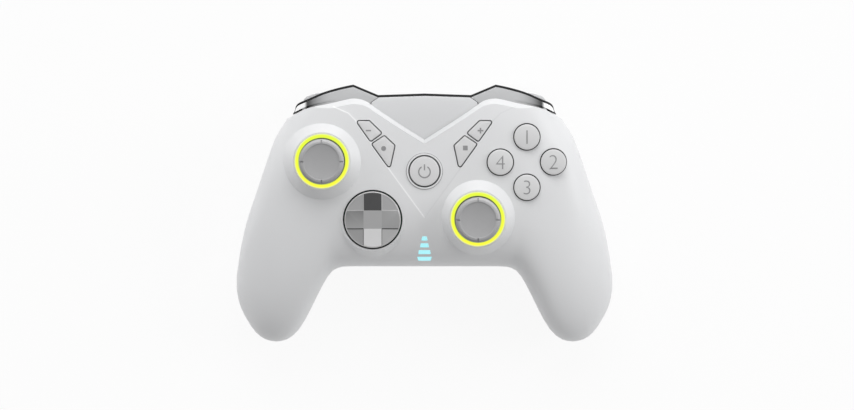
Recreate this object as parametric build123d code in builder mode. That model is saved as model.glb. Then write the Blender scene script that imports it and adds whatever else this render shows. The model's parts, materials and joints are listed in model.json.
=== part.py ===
from build123d import *
import math
import os

os.makedirs("parts", exist_ok=True)

# The controller lies face up: +Z out of the face, +X to the right, +Y towards the bumpers.
# The origin is on the flat underside, below the middle of the face.

# Moulded form: sizes of the whole
half_width = 77.8
grip_reach = 53.7
crown_reach = 58.0
plate_reach = 49.5
crown_height = 40.5
part_line_height = 20.0
part_line_rise_share = 0.07
wall = 2.2
cavity_skirt = 5.0
overrun = 6.0
play = 0.3

# Stations across the form, as shares: place across of half_width, lower end of grip_reach,
# upper end of crown_reach, crown place of crown_reach, crown height of crown_height,
# belly place of grip_reach, belly height of crown_height, fullness above and below
station_shares = [
    (0.000, -0.413, 1.000, 0.241, 1.000, 0.149, -0.037, 0.86, 0.72),
    (0.206, -0.413, 1.000, 0.241, 1.000, 0.149, -0.037, 0.86, 0.72),
    (0.360, -0.413, 1.000, 0.241, 0.998, 0.112, -0.035, 0.85, 0.70),
    (0.437, -0.417, 0.997, 0.224, 0.995, 0.000, -0.025, 0.83, 0.68),
    (0.488, -0.447, 0.983, 0.207, 0.990, -0.112, -0.010, 0.80, 0.66),
    (0.540, -0.555, 0.957, 0.190, 0.983, -0.223, 0.005, 0.77, 0.64),
    (0.604, -0.741, 0.905, 0.172, 0.968, -0.410, 0.007, 0.72, 0.60),
    (0.668, -0.903, 0.802, 0.138, 0.943, -0.596, 0.007, 0.68, 0.57),
    (0.733, -0.983, 0.660, 0.086, 0.911, -0.708, 0.007, 0.65, 0.55),
    (0.790, -1.000, 0.538, 0.017, 0.872, -0.745, 0.025, 0.64, 0.55),
    (0.848, -0.983, 0.324, -0.086, 0.815, -0.745, 0.064, 0.63, 0.55),
    (0.900, -0.927, 0.117, -0.190, 0.751, -0.708, 0.123, 0.62, 0.55),
    (0.945, -0.832, -0.062, -0.293, 0.677, -0.670, 0.193, 0.60, 0.55),
    (0.977, -0.741, -0.248, -0.397, 0.593, -0.615, 0.272, 0.57, 0.55),
    (0.9925, -0.665, -0.380, -0.466, 0.525, -0.568, 0.350, 0.56, 0.55),
    (1.0000, -0.605, -0.450, -0.500, 0.478, -0.545, 0.407, 0.55, 0.55),
]
strips = 2
slant_end_share = 0.8
slant_limit = 1.8
tip_start_share = 0.7

# Plan lines, right half, as shares of half_width and plate_reach
white_edge_shares = [
    (0.0, 0.641),
    (0.283, 0.928),
    (0.343, 0.963),
    (0.372, 0.965),
    (0.451, 0.937),
    (0.549, 0.903),
    (0.618, 0.877),
    (0.689, 0.822),
    (0.733, 0.778),
    (0.820, 0.690),
]
rim_shares = [
    (0.0, 0.978),
    (0.2455, 0.965),
    (0.3770, 1.052),
    (0.4690, 1.020),
    (0.5490, 0.980),
    (0.6350, 0.921),
    (0.6805, 0.874),
    (0.6895, 0.826),
    (0.7330, 0.785),
    (0.8200, 0.690),
]
rim_corner_index = 2
crease_shares = [
    (0.0, -0.022),
    (0.186, 0.378),
    (0.362, 0.780),
    (0.400, 0.840),
    (0.480, 0.895),
]
crease_depth = 0.3
bevel_depth = 1.9
bevel_tool_height = 4.0
bevel_plane_height = 41.5
bevel_plane_fall_share = -0.085

# Silver plate and bumpers
silver_drop = 2.6
silver_skin = 2.0
silver_bottom = 25.6
silver_underlap = 3.5
split_inner = 19.1
split_outer = 21.9
split_gap = 0.35
bumper_end_gap = 0.9
keepout_start = 37.0
bumper_end = 53.9
bumper_pin_x = 24.0
bumper_pin_y = 46.0
bumper_pin_radius = 1.0
bumper_pin_top = 32.0
bumper_barrel_radius = 2.2
bumper_rib_x = 44.0
bumper_rib_width = 5.0
bumper_rib_thick = 1.2
bumper_switch_width = 4.4
bumper_switch_depth = 3.0
bumper_switch_height = 4.0
bumper_switch_y = 38.6
bumper_button_reach = 0.8
bumper_rib_gap = 0.72
bumper_button_radius = 1.2
pin_fit = 0.05

# Port panel with its brow, and the charging socket
brow_bottom = 24.4
brow_thick = 0.9
brow_proud = 1.0
brow_depth = 6.0
panel_half_width = 26.9
panel_thick = 2.1
panel_recess = 0.5
panel_fit = 0.1
boss_drop = 5.4
boss_floor = 0.6
socket_width = 8.9
socket_height = 3.2
socket_depth = 7.3
socket_wall = 0.35
socket_height_z = 17.0
socket_fit = 0.25
tongue_thick = 0.7
tongue_width = 6.7
port_board_half_width = 12.0
port_board_thick = 1.6
port_board_start = 37.0
port_post_radius = 2.0
port_post_x = 9.0
port_post_y = 41.5

# Shell screws and their posts: place of half_width and grip_reach, head seat of part_line_height
screw_shares = [
    (0.180, -0.307, 0.45),
    (0.797, -0.857, 0.44),
    (0.790, 0.186, 0.62),
]
screw_boss_radius = 3.6
screw_head_radius = 2.4
screw_head_height = 1.8
screw_radius = 1.2
screw_grip = 8.0
screw_slot_width = 0.8
screw_slot_depth = 0.7

# Main board
board_thick = 1.6
board_bottom = 24.4
board_half_width = 55.0
board_upper_edge = 33.0
board_shoulder_y = 4.0
board_lower_half_width = 35.0
board_lower_edge = -12.5
board_tongue_half_width = 6.0
board_tongue_edge = -19.4
board_corner = 2.0
board_post_radius = 2.5
board_screw_radius = 0.85
board_screw_head_radius = 1.8
board_screw_head_height = 1.2
board_screw_grip = 6.0
board_screw_spots = [(0.668, 0.149), (0.398, -0.177)]
chip_height = 1.2
chip_size = 8.0
chip_small = 4.0
chip_place = 9.5
switch_size = 6.0
switch_height = 2.0

# Battery
battery_width = 52.0
battery_length = 36.0
battery_height = 8.0
battery_y = 10.8
battery_corner = 2.5

# Sticks
left_stick_x = -41.9
left_stick_y = 22.1
right_stick_x = 21.8
right_stick_y = -1.6
pivot_height = 33.0
dome_radius = 12.3
dome_wall = 1.0
dome_play = 0.6
dome_skirt_drop = 4.2
ring_outer = 11.1
ring_inner = 9.5
ring_top = 43.8
ring_thick = 1.6
ring_fit = 0.1
ring_edge = 0.3
collar_top_radius = 11.8
collar_top = 43.4
collar_fall = 14.0
collar_inner_run = 19.7
collar_outer_run = 6.4
cap_radius = 9.2
cap_top = 52.0
cap_thick = 3.5
cap_edge = 0.9
cap_dish_radius = 7.1
cap_dish_depth = 1.1
cap_dish_step = 0.4
cap_tick_width = 0.5
cap_tick_depth = 0.35
cap_tick_count = 4
neck_radius = 3.2
neck_start = 5.6
shaft_radius = 1.5
shaft_top = 13.5
shaft_bottom = -2.5
click_travel = 0.5
click_spare = 0.4
frame_size = 13.0
frame_wall = 1.0
frame_rise = 2.8
pot_thick = 2.6
pot_width = 7.0
yoke_length = 9.4
yoke_width = 8.6
yoke_hole_length = 6.6
yoke_hole_width = 6.2
yoke_half_height = 1.4
yoke_pin_radius = 1.0
yoke_pin_reach = 6.3
cross_pin_radius = 0.8
cross_pin_reach = 4.2

# Direction pad
dpad_x = -21.2
dpad_y = -1.9
dpad_radius = 11.6
dpad_gap = 0.45
dpad_top = 40.6
dpad_thick = 2.3
dpad_arm_width = 7.5
dpad_arm_rise = 1.1
dpad_corner_step = 0.25
dpad_corner_rise_share = 0.1
dpad_edge = 0.7
dpad_centre_drop = 0.9
dpad_collar_top = 40.1
dpad_collar_wall = 0.9
dpad_collar_fall = 8.0
dpad_collar_inner_run = 9.0
dpad_collar_outer_run = 4.6
dpad_pivot = 36.4
dpad_pin_radius = 0.8
dpad_pin_reach = 3.0
dpad_hub_size = 2.4
dpad_ear_start = 1.9
dpad_ear_thick = 1.3
dpad_ear_width = 3.0
dpad_ear_reach = 1.2
dpad_post_radius = 3.6
dpad_post_gap = 1.9
dpad_leg_radius = 1.2
dpad_leg_place = 7.3
dpad_leg_length = 7.8

# Face buttons: place from the middle of the group, and how far each top lies below the crown
face_x = 41.9
face_y = 21.6
face_step_x = 10.9
face_step_y = 10.3
face_radius = 5.2
face_hole_play = 0.3
face_crown_rise = 1.5
face_dome_rise = 0.5
face_flange = 0.8
face_flange_thick = 0.8
face_bottom = 29.6
face_top_drop = 0.7
face_left_drop = 0.0
face_right_drop = 2.0
face_bottom_drop = 0.5

# Guide button and its ring
guide_x = 0.0
guide_y = 17.9
guide_radius = 6.1
guide_hole_radius = 6.45
guide_ring_outer = 7.45
guide_ring_thick = 1.3
guide_ring_rise = 0.12
guide_rise = 0.5
guide_dome_rise = 0.35
guide_flange = 1.0
guide_flange_thick = 1.2
guide_flange_drop = 4.2
guide_stem_radius = 2.5
guide_stem_gap = 0.85

# Menu buttons, outlines as shares of half_width and plate_reach, left side is the mirror
menu_upper_shares = [(0.357, 0.776), (0.2905, 0.776), (0.2256, 0.677), (0.283, 0.610)]
menu_lower_shares = [(0.211, 0.653), (0.1575, 0.574), (0.1834, 0.386), (0.275, 0.586)]
menu_corner = 0.6
menu_rise = 0.15
menu_play = 0.3
menu_flange = 0.45
menu_flange_bottom = 34.4
menu_flange_thick = 1.2
menu_stem_radius = 1.5
menu_stem_bottom = 30.0

# Rubber membranes on the board
membrane_thick = 1.0
membrane_gap = 0.3
membrane_draft = 8.0
face_dome_radius = 3.4
face_pad_radius = 6.6
dpad_dome_radius = 2.2
dpad_pad_radius = 10.2
dpad_pad_hole = 4.1
menu_dome_radius = 2.4

# Status lights
bar_first_y = -9.75
bar_pitch = 2.85
bar_height = 1.55
bar_widest = 5.9
bar_width_shares = [(0.27, 0.42), (0.49, 0.59), (0.75, 0.85), (1.0, 0.83)]
bar_fit = 0.08
bar_base_thick = 1.0
bar_proud = 0.05

# Triggers
trigger_pivot_y = 39.5
trigger_pivot_z = 20.3
trigger_inner = 27.4
trigger_outer = 49.8
trigger_pin_radius = 1.5
trigger_barrel_radius = 3.0
trigger_reach = 12.2
trigger_drop = 17.2
trigger_skin = 2.2
trigger_corner = 4.5
trigger_outer_shares = [
    (0.84, 0.20),
    (0.95, -0.06),
    (0.98, -0.35),
    (0.92, -0.67),
    (1.00, -0.96),
]
trigger_inner_shares = [(0.87, -1.0), (0.62, -0.60), (0.16, -0.16)]
trigger_back_shares = [(0.05, 0.17)]
trigger_plan_shares = [
    (0.335, 1.010),
    (0.377, 1.020),
    (0.470, 1.010),
    (0.570, 0.999),
    (0.625, 0.973),
    (0.660, 0.915),
]
trigger_pocket_shares = [
    (0.30, 0.06),
    (0.68, 0.06),
    (0.76, -0.08),
    (0.80, -0.35),
    (0.72, -0.72),
    (0.20, -0.80),
    (0.20, -0.22),
]
trigger_cheek = 1.6
spring_radius = 2.6
spring_hole = 1.8
spring_length = 4.6
spring_slot_gap = 0.4
spring_place_share = 0.72

# Shoulder frame
frame_bar_y = 33.6
frame_bar_thick = 2.4
frame_bar_bottom = 15.0
frame_top = 25.6
frame_flange_thick = 1.2
frame_flange_end = 41.9
frame_ear_corner = 1.0
frame_ear_thick = 1.1
frame_ear_end = 41.4
frame_ear_bottom = 18.3
frame_side_gap = 0.4
frame_leg_inner = 14.0
frame_leg_outer = 24.0
frame_leg_bottom = 3.4

# Trigger notch in the rear shell
notch_start = 36.0
notch_side_gap = 0.5

# Rumble motors
motor_x = 57.5
motor_z = 16.0
motor_radius = 7.5
motor_start = -20.0
motor_length = 16.0
motor_shaft_radius = 1.0
motor_shaft_length = 7.0
weight_radius = 6.8
weight_hub_radius = 2.6
weight_thick = 4.0
weight_gap = 1.3
cradle_half_width = 9.0
cradle_top = 15.0
cradle_thick = 2.0
cradle_inset = 2.0
cradle_fit = 0.1

# Which corner or edge of a rectangle lies on its place
low_middle = (Align.CENTER, Align.MIN)
high_middle = (Align.CENTER, Align.MAX)
outward = {1: (Align.MIN, Align.MIN), -1: (Align.MAX, Align.MIN)}

# Derived places
board_top = board_bottom + board_thick
far = half_width + overrun
tall = crown_height + cap_top
port_board_bottom = socket_height_z - socket_height / 2 - port_board_thick
panel_front = rim_shares[1][1] * plate_reach - panel_recess
port_board_length = panel_front - panel_thick - play - port_board_start
ear_inner = trigger_inner - frame_side_gap - frame_ear_thick
ear_outer = trigger_outer + frame_side_gap + frame_ear_thick
bumper_rib_y = bumper_switch_y + bumper_switch_depth + bumper_button_reach + bumper_rib_gap


def part_line(y):
    """Height of the joint between the two shells at a place along Y."""
    return part_line_height + part_line_rise_share * y


def between(index, step):
    """A row part of the way from one station to the next, on a smooth curve through all of them."""
    columns = list(zip(*station_shares))
    places = columns[0]
    run = places[index + 1] - places[index]
    share = step / strips
    row = []
    for column in columns:
        start, end = column[index], column[index + 1]
        leave, arrive = column_slope(places, column, index), column_slope(places, column, index + 1)
        near_part = (1 + 2 * share) * (1 - share) ** 2 * start + share * (1 - share) ** 2 * run * leave
        far_part = share**2 * (3 - 2 * share) * end + share**2 * (share - 1) * run * arrive
        row.append(near_part + far_part)
    return row


def column_slope(places, column, index):
    """Slope of one column at a station: level at the middle and wherever it turns."""
    if index == 0:
        return 0.0
    before = (column[index] - column[index - 1]) / (places[index] - places[index - 1])
    if index == len(places) - 1:
        return before
    after = (column[index + 1] - column[index]) / (places[index + 1] - places[index])
    if before * after <= 0:
        return 0.0
    return 2 * before * after / (before + after)


def handle(side, end, fullness):
    """Control points between a side point and a crown or belly point."""
    rise = (side[0], side[1] + (end[1] - side[1]) * fullness)
    run = (end[0] + (side[0] - end[0]) * fullness, end[1])
    return rise, run


def slant(rows, index, column, reach):
    """How many times the inset an edge is drawn in along Y, where it runs at a slant."""
    if rows[index][0] > slant_end_share:
        return 1.0
    before = rows[max(index - 1, 0)]
    after = rows[index + 1]
    slope = (after[column] - before[column]) * reach / ((after[0] - before[0]) * half_width)
    return min(math.hypot(1, slope), slant_limit)


def section_face(side, rows, index, inset, half, skirt):
    """Upper or lower half of a section, drawn in by inset, in the plane of its station."""
    row = rows[index]
    tip_share = max(0.0, (row[0] - tip_start_share) / (1 - tip_start_share))
    low = row[1] * grip_reach + inset * slant(rows, index, 1, grip_reach)
    high = row[2] * crown_reach - inset * slant(rows, index, 2, crown_reach)
    near = (low, part_line(low))
    away = (high, part_line(high))
    top = (row[3] * crown_reach, row[4] * crown_height - inset)
    bottom = (row[5] * grip_reach, row[6] * crown_height + inset)
    end = top if half > 0 else bottom
    fullness = row[7] if half > 0 else row[8]
    near_rise, near_run = handle(near, end, fullness)
    away_rise, away_run = handle(away, end, fullness)
    near_foot = (near[0], near[1] - half * skirt)
    away_foot = (away[0], away[1] - half * skirt)
    place = side * (row[0] * half_width - inset * math.sqrt(tip_share))
    plane = Plane(origin=(place, 0, 0), x_dir=(0, 1, 0), z_dir=(1, 0, 0))
    with BuildSketch(plane) as section:
        with BuildLine():
            Bezier(near, near_rise, near_run, end)
            Bezier(end, away_run, away_rise, away)
            if skirt > 0:
                Polyline(away, away_foot, near_foot, near)
            else:
                Line(away, near)
        make_face()
    return section.sketch.faces()[0]


def half_form(inset, half, skirt=0.0):
    """Upper or lower half of the moulded form, or of the cavity in it."""
    last = len(station_shares) - 1
    rows = [station_shares[0]]
    rows += [between(i, step) for i in range(1, last - 1) for step in range(strips)]
    # the cavity ends one station short of the tip
    rows += station_shares[last - 1 :] if inset == 0 else station_shares[last - 1 : last]
    count = len(rows)
    faces = [section_face(-1, rows, i, inset, half, skirt) for i in range(count - 1, 0, -1)]
    faces += [section_face(1, rows, i, inset, half, skirt) for i in range(count)]
    with BuildPart() as form:
        loft(sections=faces, ruled=True)
    return form.part


def plan_points(shares, rise=0.0, stretch=1.0):
    """Right half of a plan line, moved along Y by rise."""
    return [(x * half_width, (y * plate_reach + rise) * stretch) for x, y in shares]


def mirrored(points):
    """The same points on the left."""
    return [(-x, y) for x, y in points]


def white_plan(rise=0.0, stretch=1.0, plane=Plane.XY):
    """Plan of all that lies below the white shell's upper edge."""
    right = plan_points(white_edge_shares, rise, stretch)
    left = mirrored(right)
    with BuildSketch(plane) as plan:
        with BuildLine():
            Line(right[0], right[1])
            Spline(*right[1:])
            Polyline(right[-1], (far, right[-1][1]), (far, -far), (-far, -far), (-far, left[-1][1]), left[-1])
            Spline(*reversed(left[1:]))
            Line(left[1], left[0])
        make_face()
    return plan.sketch


def beyond_white_plan(rise, stretch, plane):
    """Plan of all that lies above the white shell's upper edge."""
    right = plan_points(white_edge_shares, rise, stretch)
    left = mirrored(right)
    with BuildSketch(plane) as plan:
        with BuildLine():
            Line(right[0], right[1])
            Spline(*right[1:])
            Polyline(right[-1], (far, right[-1][1]), (far, far), (-far, far), (-far, left[-1][1]), left[-1])
            Spline(*reversed(left[1:]))
            Line(left[1], left[0])
        make_face()
    return plan.sketch


def rim_plan(rise=0.0):
    """Plan of all that lies inside the upper rim."""
    right = plan_points(rim_shares, rise)
    left = mirrored(right)
    corner = rim_corner_index
    with BuildSketch() as plan:
        with BuildLine():
            Polyline(*right[: corner + 1])
            Spline(*right[corner:])
            Polyline(right[-1], (far, right[-1][1]), (far, -far), (-far, -far), (-far, left[-1][1]), left[-1])
            Spline(*reversed(left[corner:]))
            Polyline(*reversed(left[: corner + 1]))
        make_face()
    return plan.sketch


def keep(made, label):
    """Label a finished piece and write its STEP file."""
    made.part.label = label
    export_step(made.part, f"parts/{label}.step")


def side_name(side):
    """Name of the side with this sign along X."""
    return "left" if side < 0 else "right"


def cone_collar(centre, top_radius, top, fall, inner_run, outer_run, inward):
    """A raised collar that runs out further on the side that inward points to."""
    slide = (inner_run - outer_run) / 2
    foot = (centre[0] + inward[0] * slide, centre[1] + inward[1] * slide)
    with BuildPart() as collar:
        with BuildSketch(Plane((foot[0], foot[1], top - fall))):
            Circle(top_radius + (inner_run + outer_run) / 2)
        with BuildSketch(Plane((centre[0], centre[1], top))):
            Circle(top_radius)
        loft(ruled=True)
        add(upper_cavity, mode=Mode.SUBTRACT)
    return collar.part


upper_form = half_form(0.0, 1)
lower_form = half_form(0.0, -1)
upper_cavity = half_form(wall, 1, cavity_skirt)
lower_cavity = half_form(wall, -1, cavity_skirt)
stick_spots = {"left": (left_stick_x, left_stick_y), "right": (right_stick_x, right_stick_y)}
face_spots = {
    "top": (face_x, face_y + face_step_y, face_top_drop),
    "left": (face_x - face_step_x, face_y, face_left_drop),
    "right": (face_x + face_step_x, face_y, face_right_drop),
    "bottom": (face_x, face_y - face_step_y, face_bottom_drop),
}
screw_spots = [
    (side * x * half_width, y * grip_reach, seat * part_line_height)
    for side in (-1, 1)
    for x, y, seat in screw_shares
]
board_spots = [
    (side * x * half_width, y * grip_reach) for side in (-1, 1) for x, y in board_screw_spots
]
cradle_spots = [
    (side * motor_x, y)
    for side in (-1, 1)
    for y in (motor_start - cradle_inset, motor_start - motor_length + cradle_inset)
]
inward_shares = {"left": (0.9, -0.4), "right": (0.0, 1.0)}
bevel_slope = math.degrees(math.atan(bevel_plane_fall_share))
bevel_stretch = 1 / math.cos(math.radians(bevel_slope))


def menu_outline(shares, side, grow=0.0, height=0.0):
    """Rounded outline of one menu button at a height."""
    points = [(side * x * half_width, y * plate_reach) for x, y in shares]
    with BuildSketch(Plane.XY.offset(height)) as outline:
        with BuildLine():
            Polyline(*points, close=True)
        make_face()
        fillet(outline.vertices(), radius=menu_corner)
        if grow > 0:
            offset(amount=grow)
    return outline.sketch


def bar_outline(index, grow, height):
    """Outline of one status bar at a height."""
    upper, lower = bar_width_shares[index]
    middle = bar_first_y - index * bar_pitch
    high = middle + bar_height / 2 + grow
    low = middle - bar_height / 2 - grow
    half_high = upper * bar_widest / 2 + grow
    half_low = lower * bar_widest / 2 + grow
    with BuildSketch(Plane.XY.offset(height)) as outline:
        with BuildLine():
            Polyline((-half_high, high), (half_high, high), (half_low, low), (-half_low, low), close=True)
        make_face()
    return outline.sketch


# Tool that lowers the panel between the two creases
with BuildPart() as crease_tool:
    crease_right = plan_points(crease_shares)
    crease_left = mirrored(crease_right)
    with BuildSketch(Plane.XY.offset(part_line_height)):
        with BuildLine():
            Polyline(*crease_right)
            Polyline(crease_right[-1], (crease_right[-1][0], far), (crease_left[-1][0], far), crease_left[-1])
            Polyline(*reversed(crease_left))
        make_face()
    extrude(amount=tall, dir=(0, 0, 1))
    add(upper_form.moved(Location((0, 0, -crease_depth))), mode=Mode.SUBTRACT)

# Tool that bevels the white shell's upper edge
with BuildPart() as bevel_tool:
    bevel_low = Plane((0, 0, bevel_plane_height - bevel_depth)).rotated((bevel_slope, 0, 0))
    bevel_high = bevel_low.offset(bevel_tool_height)
    add(beyond_white_plan(0.0, bevel_stretch, bevel_low))
    add(beyond_white_plan(-bevel_tool_height, bevel_stretch, bevel_high))
    loft(ruled=True)

# Cavity of the front shell, with the screw bosses left standing
with BuildPart() as front_cavity:
    add(upper_cavity)
    with BuildSketch(Plane.XY):
        with Locations(*[(x, y) for x, y, seat in screw_spots]):
            Circle(screw_boss_radius)
    extrude(amount=tall, mode=Mode.SUBTRACT)

# Front shell
with BuildPart() as front_shell:
    add(upper_form)
    add(front_cavity.part, mode=Mode.SUBTRACT)
    add(white_plan())
    extrude(amount=tall, both=True, mode=Mode.INTERSECT)
    add(bevel_tool.part, mode=Mode.SUBTRACT)
    add(crease_tool.part, mode=Mode.SUBTRACT)
    for name, spot in stick_spots.items():
        stick_collar = cone_collar(
            spot,
            collar_top_radius,
            collar_top,
            collar_fall,
            collar_inner_run,
            collar_outer_run,
            inward_shares[name],
        )
        add(stick_collar)
    pad_spot = (dpad_x, dpad_y)
    pad_rim = dpad_radius + dpad_gap + dpad_collar_wall
    pad_collar = cone_collar(
        pad_spot,
        pad_rim,
        dpad_collar_top,
        dpad_collar_fall,
        dpad_collar_inner_run,
        dpad_collar_outer_run,
        (0, 1),
    )
    add(pad_collar)
    # room for the stick domes, and the seats of the light rings
    with Locations(*[(x, y, pivot_height) for x, y in stick_spots.values()]):
        Sphere(dome_radius + dome_play, mode=Mode.SUBTRACT)
    with BuildSketch(Plane.XY.offset(pivot_height)):
        with Locations(*stick_spots.values()):
            Circle(ring_inner)
    extrude(amount=tall, mode=Mode.SUBTRACT)
    with BuildSketch(Plane.XY.offset(ring_top - ring_thick)):
        with Locations(*stick_spots.values()):
            Circle(ring_outer + ring_fit)
    extrude(amount=tall, mode=Mode.SUBTRACT)
    # direction pad, face buttons and the guide button with its ring
    with BuildSketch(Plane.XY.offset(board_top)):
        with Locations(pad_spot):
            Circle(dpad_radius + dpad_gap)
        with Locations(*[(x, y) for x, y, drop in face_spots.values()]):
            Circle(face_radius + face_hole_play)
        with Locations((guide_x, guide_y)):
            Circle(guide_hole_radius)
    extrude(amount=tall, mode=Mode.SUBTRACT)
    with BuildSketch(Plane.XY.offset(crown_height + guide_ring_rise - guide_ring_thick)):
        with Locations((guide_x, guide_y)):
            Circle(guide_ring_outer)
    extrude(amount=tall, mode=Mode.SUBTRACT)
    # menu buttons and status bars
    for side in (-1, 1):
        for shares in (menu_upper_shares, menu_lower_shares):
            add(menu_outline(shares, side, menu_play, board_top))
    extrude(amount=tall, mode=Mode.SUBTRACT)
    for index in range(len(bar_width_shares)):
        add(bar_outline(index, bar_fit, board_top))
    extrude(amount=tall, mode=Mode.SUBTRACT)
    # bores for the shell screws
    for x, y, seat in screw_spots:
        with BuildSketch(Plane((x, y, seat))):
            Circle(screw_radius + pin_fit)
        extrude(amount=part_line(y) - seat + screw_grip + play, mode=Mode.SUBTRACT)
keep(front_shell, "front_shell")

# Rear shell: the cavity first, with the posts and motor cradles left standing in it
with BuildPart() as rear_cavity:
    add(lower_cavity)
    with BuildSketch(Plane.XY.offset(wall)):
        Rectangle(far + far, far + far)
    extrude(amount=-tall, mode=Mode.SUBTRACT)
    with BuildSketch(Plane.XY):
        with Locations(*[(x, y) for x, y, seat in screw_spots]):
            Circle(screw_boss_radius)
        with Locations(*board_spots):
            Circle(board_post_radius)
    extrude(amount=tall, mode=Mode.SUBTRACT)
    with BuildSketch(Plane.XY):
        with Locations((-port_post_x, port_post_y), (port_post_x, port_post_y)):
            Circle(port_post_radius)
    extrude(amount=port_board_bottom, mode=Mode.SUBTRACT)
    with BuildSketch(Plane.XY):
        with Locations(*cradle_spots):
            Rectangle(cradle_half_width + cradle_half_width, cradle_thick)
    extrude(amount=cradle_top, mode=Mode.SUBTRACT)

with BuildPart() as rear_shell:
    add(lower_form)
    add(rear_cavity.part, mode=Mode.SUBTRACT)
    # flat rest face on the underside
    with BuildSketch(Plane.XY):
        Rectangle(far + far, far + far)
    extrude(amount=-tall, mode=Mode.SUBTRACT)
    add(rim_plan())
    extrude(amount=tall, both=True, mode=Mode.INTERSECT)
    # notches for the triggers
    notch_inner = trigger_inner - notch_side_gap
    notch_outer = trigger_outer + notch_side_gap
    with BuildSketch(Plane.XY):
        for side in (-1, 1):
            with Locations((side * (notch_inner + notch_outer) / 2, notch_start)):
                Rectangle(notch_outer - notch_inner, far, align=low_middle)
    extrude(amount=tall, both=True, mode=Mode.SUBTRACT)
    # upper ends of the board posts
    with BuildSketch(Plane.XY.offset(frame_bar_bottom)):
        with Locations(*board_spots):
            Circle(board_post_radius)
    extrude(amount=board_bottom - frame_bar_bottom)
    # seats of the motors
    for side in (-1, 1):
        with BuildSketch(Plane(origin=(side * motor_x, 0, motor_z), x_dir=(1, 0, 0), z_dir=(0, -1, 0))):
            Circle(motor_radius + cradle_fit)
        extrude(amount=motor_length - motor_start, mode=Mode.SUBTRACT)
    # screw holes, with recesses for the heads
    for x, y, seat in screw_spots:
        with BuildSketch(Plane((x, y, seat))):
            Circle(screw_head_radius + play)
        extrude(amount=-tall, mode=Mode.SUBTRACT)
        with BuildSketch(Plane((x, y, seat))):
            Circle(screw_radius + pin_fit)
        extrude(amount=tall, mode=Mode.SUBTRACT)
    with BuildSketch(Plane.XY.offset(board_bottom)):
        with Locations(*board_spots):
            Circle(board_screw_radius + pin_fit)
    extrude(amount=-(board_screw_grip + play), mode=Mode.SUBTRACT)
keep(rear_shell, "rear_shell")

# Shell screws, put in from the back
with BuildPart() as shell_screws:
    for x, y, seat in screw_spots:
        with BuildSketch(Plane((x, y, seat - screw_head_height))):
            Circle(screw_head_radius)
        extrude(amount=screw_head_height)
        with BuildSketch(Plane((x, y, seat))):
            Circle(screw_radius)
        extrude(amount=part_line(y) - seat + screw_grip)
        with BuildSketch(Plane((x, y, seat - screw_head_height))):
            Rectangle(screw_head_radius + screw_radius, screw_slot_width)
            Rectangle(screw_slot_width, screw_head_radius + screw_radius)
        extrude(amount=screw_slot_depth, mode=Mode.SUBTRACT)
keep(shell_screws, "shell_screws")


# Space that the front shell takes, with play, for the silver pieces that pass under it
with BuildPart() as shell_keepout:
    add(upper_form)
    add(half_form(wall + play, 1, cavity_skirt), mode=Mode.SUBTRACT)
    add(white_plan(bumper_end_gap))
    extrude(amount=tall, both=True, mode=Mode.INTERSECT)
    with BuildSketch(Plane.XY):
        Rectangle(keepout_start + keepout_start, far + far)
    extrude(amount=tall, mode=Mode.SUBTRACT)


def silver_block(keep_plan):
    """Silver skin over the front edge: roof and front wall, within a plan."""
    with BuildPart() as block:
        with BuildSketch(Plane.XY.offset(silver_bottom)):
            add(rim_plan())
            add(white_plan(-silver_underlap), mode=Mode.SUBTRACT)
            add(keep_plan, mode=Mode.INTERSECT)
        extrude(amount=tall)
        add(upper_form.moved(Location((0, 0, -silver_drop))), mode=Mode.INTERSECT)
        add(shell_keepout.part, mode=Mode.SUBTRACT)
    return block.part


def silver_room():
    """Room below the silver roof and behind its front wall."""
    with BuildPart() as room:
        add(rim_plan(-silver_skin))
        extrude(amount=tall, both=True)
        add(upper_form.moved(Location((0, 0, -silver_drop - silver_skin))), mode=Mode.INTERSECT)
    return room.part


def split_plan(side, gap):
    """Plan on one side of the line between the plate and a bumper, out to a far edge."""
    rim_y = rim_shares[1][1] * plate_reach
    edge_y = white_edge_shares[1][1] * plate_reach
    with BuildSketch() as plan:
        with BuildLine():
            Polyline(
                (side * (split_inner + gap), far),
                (side * (split_inner + gap), rim_y),
                (side * (split_outer + gap), edge_y),
                (side * (split_outer + gap), 0),
                (side * far, 0),
                (side * far, far),
                close=True,
            )
        make_face()
    return plan.sketch


# Silver plate in the middle of the front edge
under_roof = silver_room()
with BuildSketch() as plate_plan:
    Rectangle(far, far + far)
    add(split_plan(-1, -split_gap / 2), mode=Mode.SUBTRACT)
    add(split_plan(1, -split_gap / 2), mode=Mode.SUBTRACT)
with BuildPart() as top_plate:
    add(silver_block(plate_plan.sketch))
    add(under_roof, mode=Mode.SUBTRACT)
keep(top_plate, "top_plate")

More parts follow.
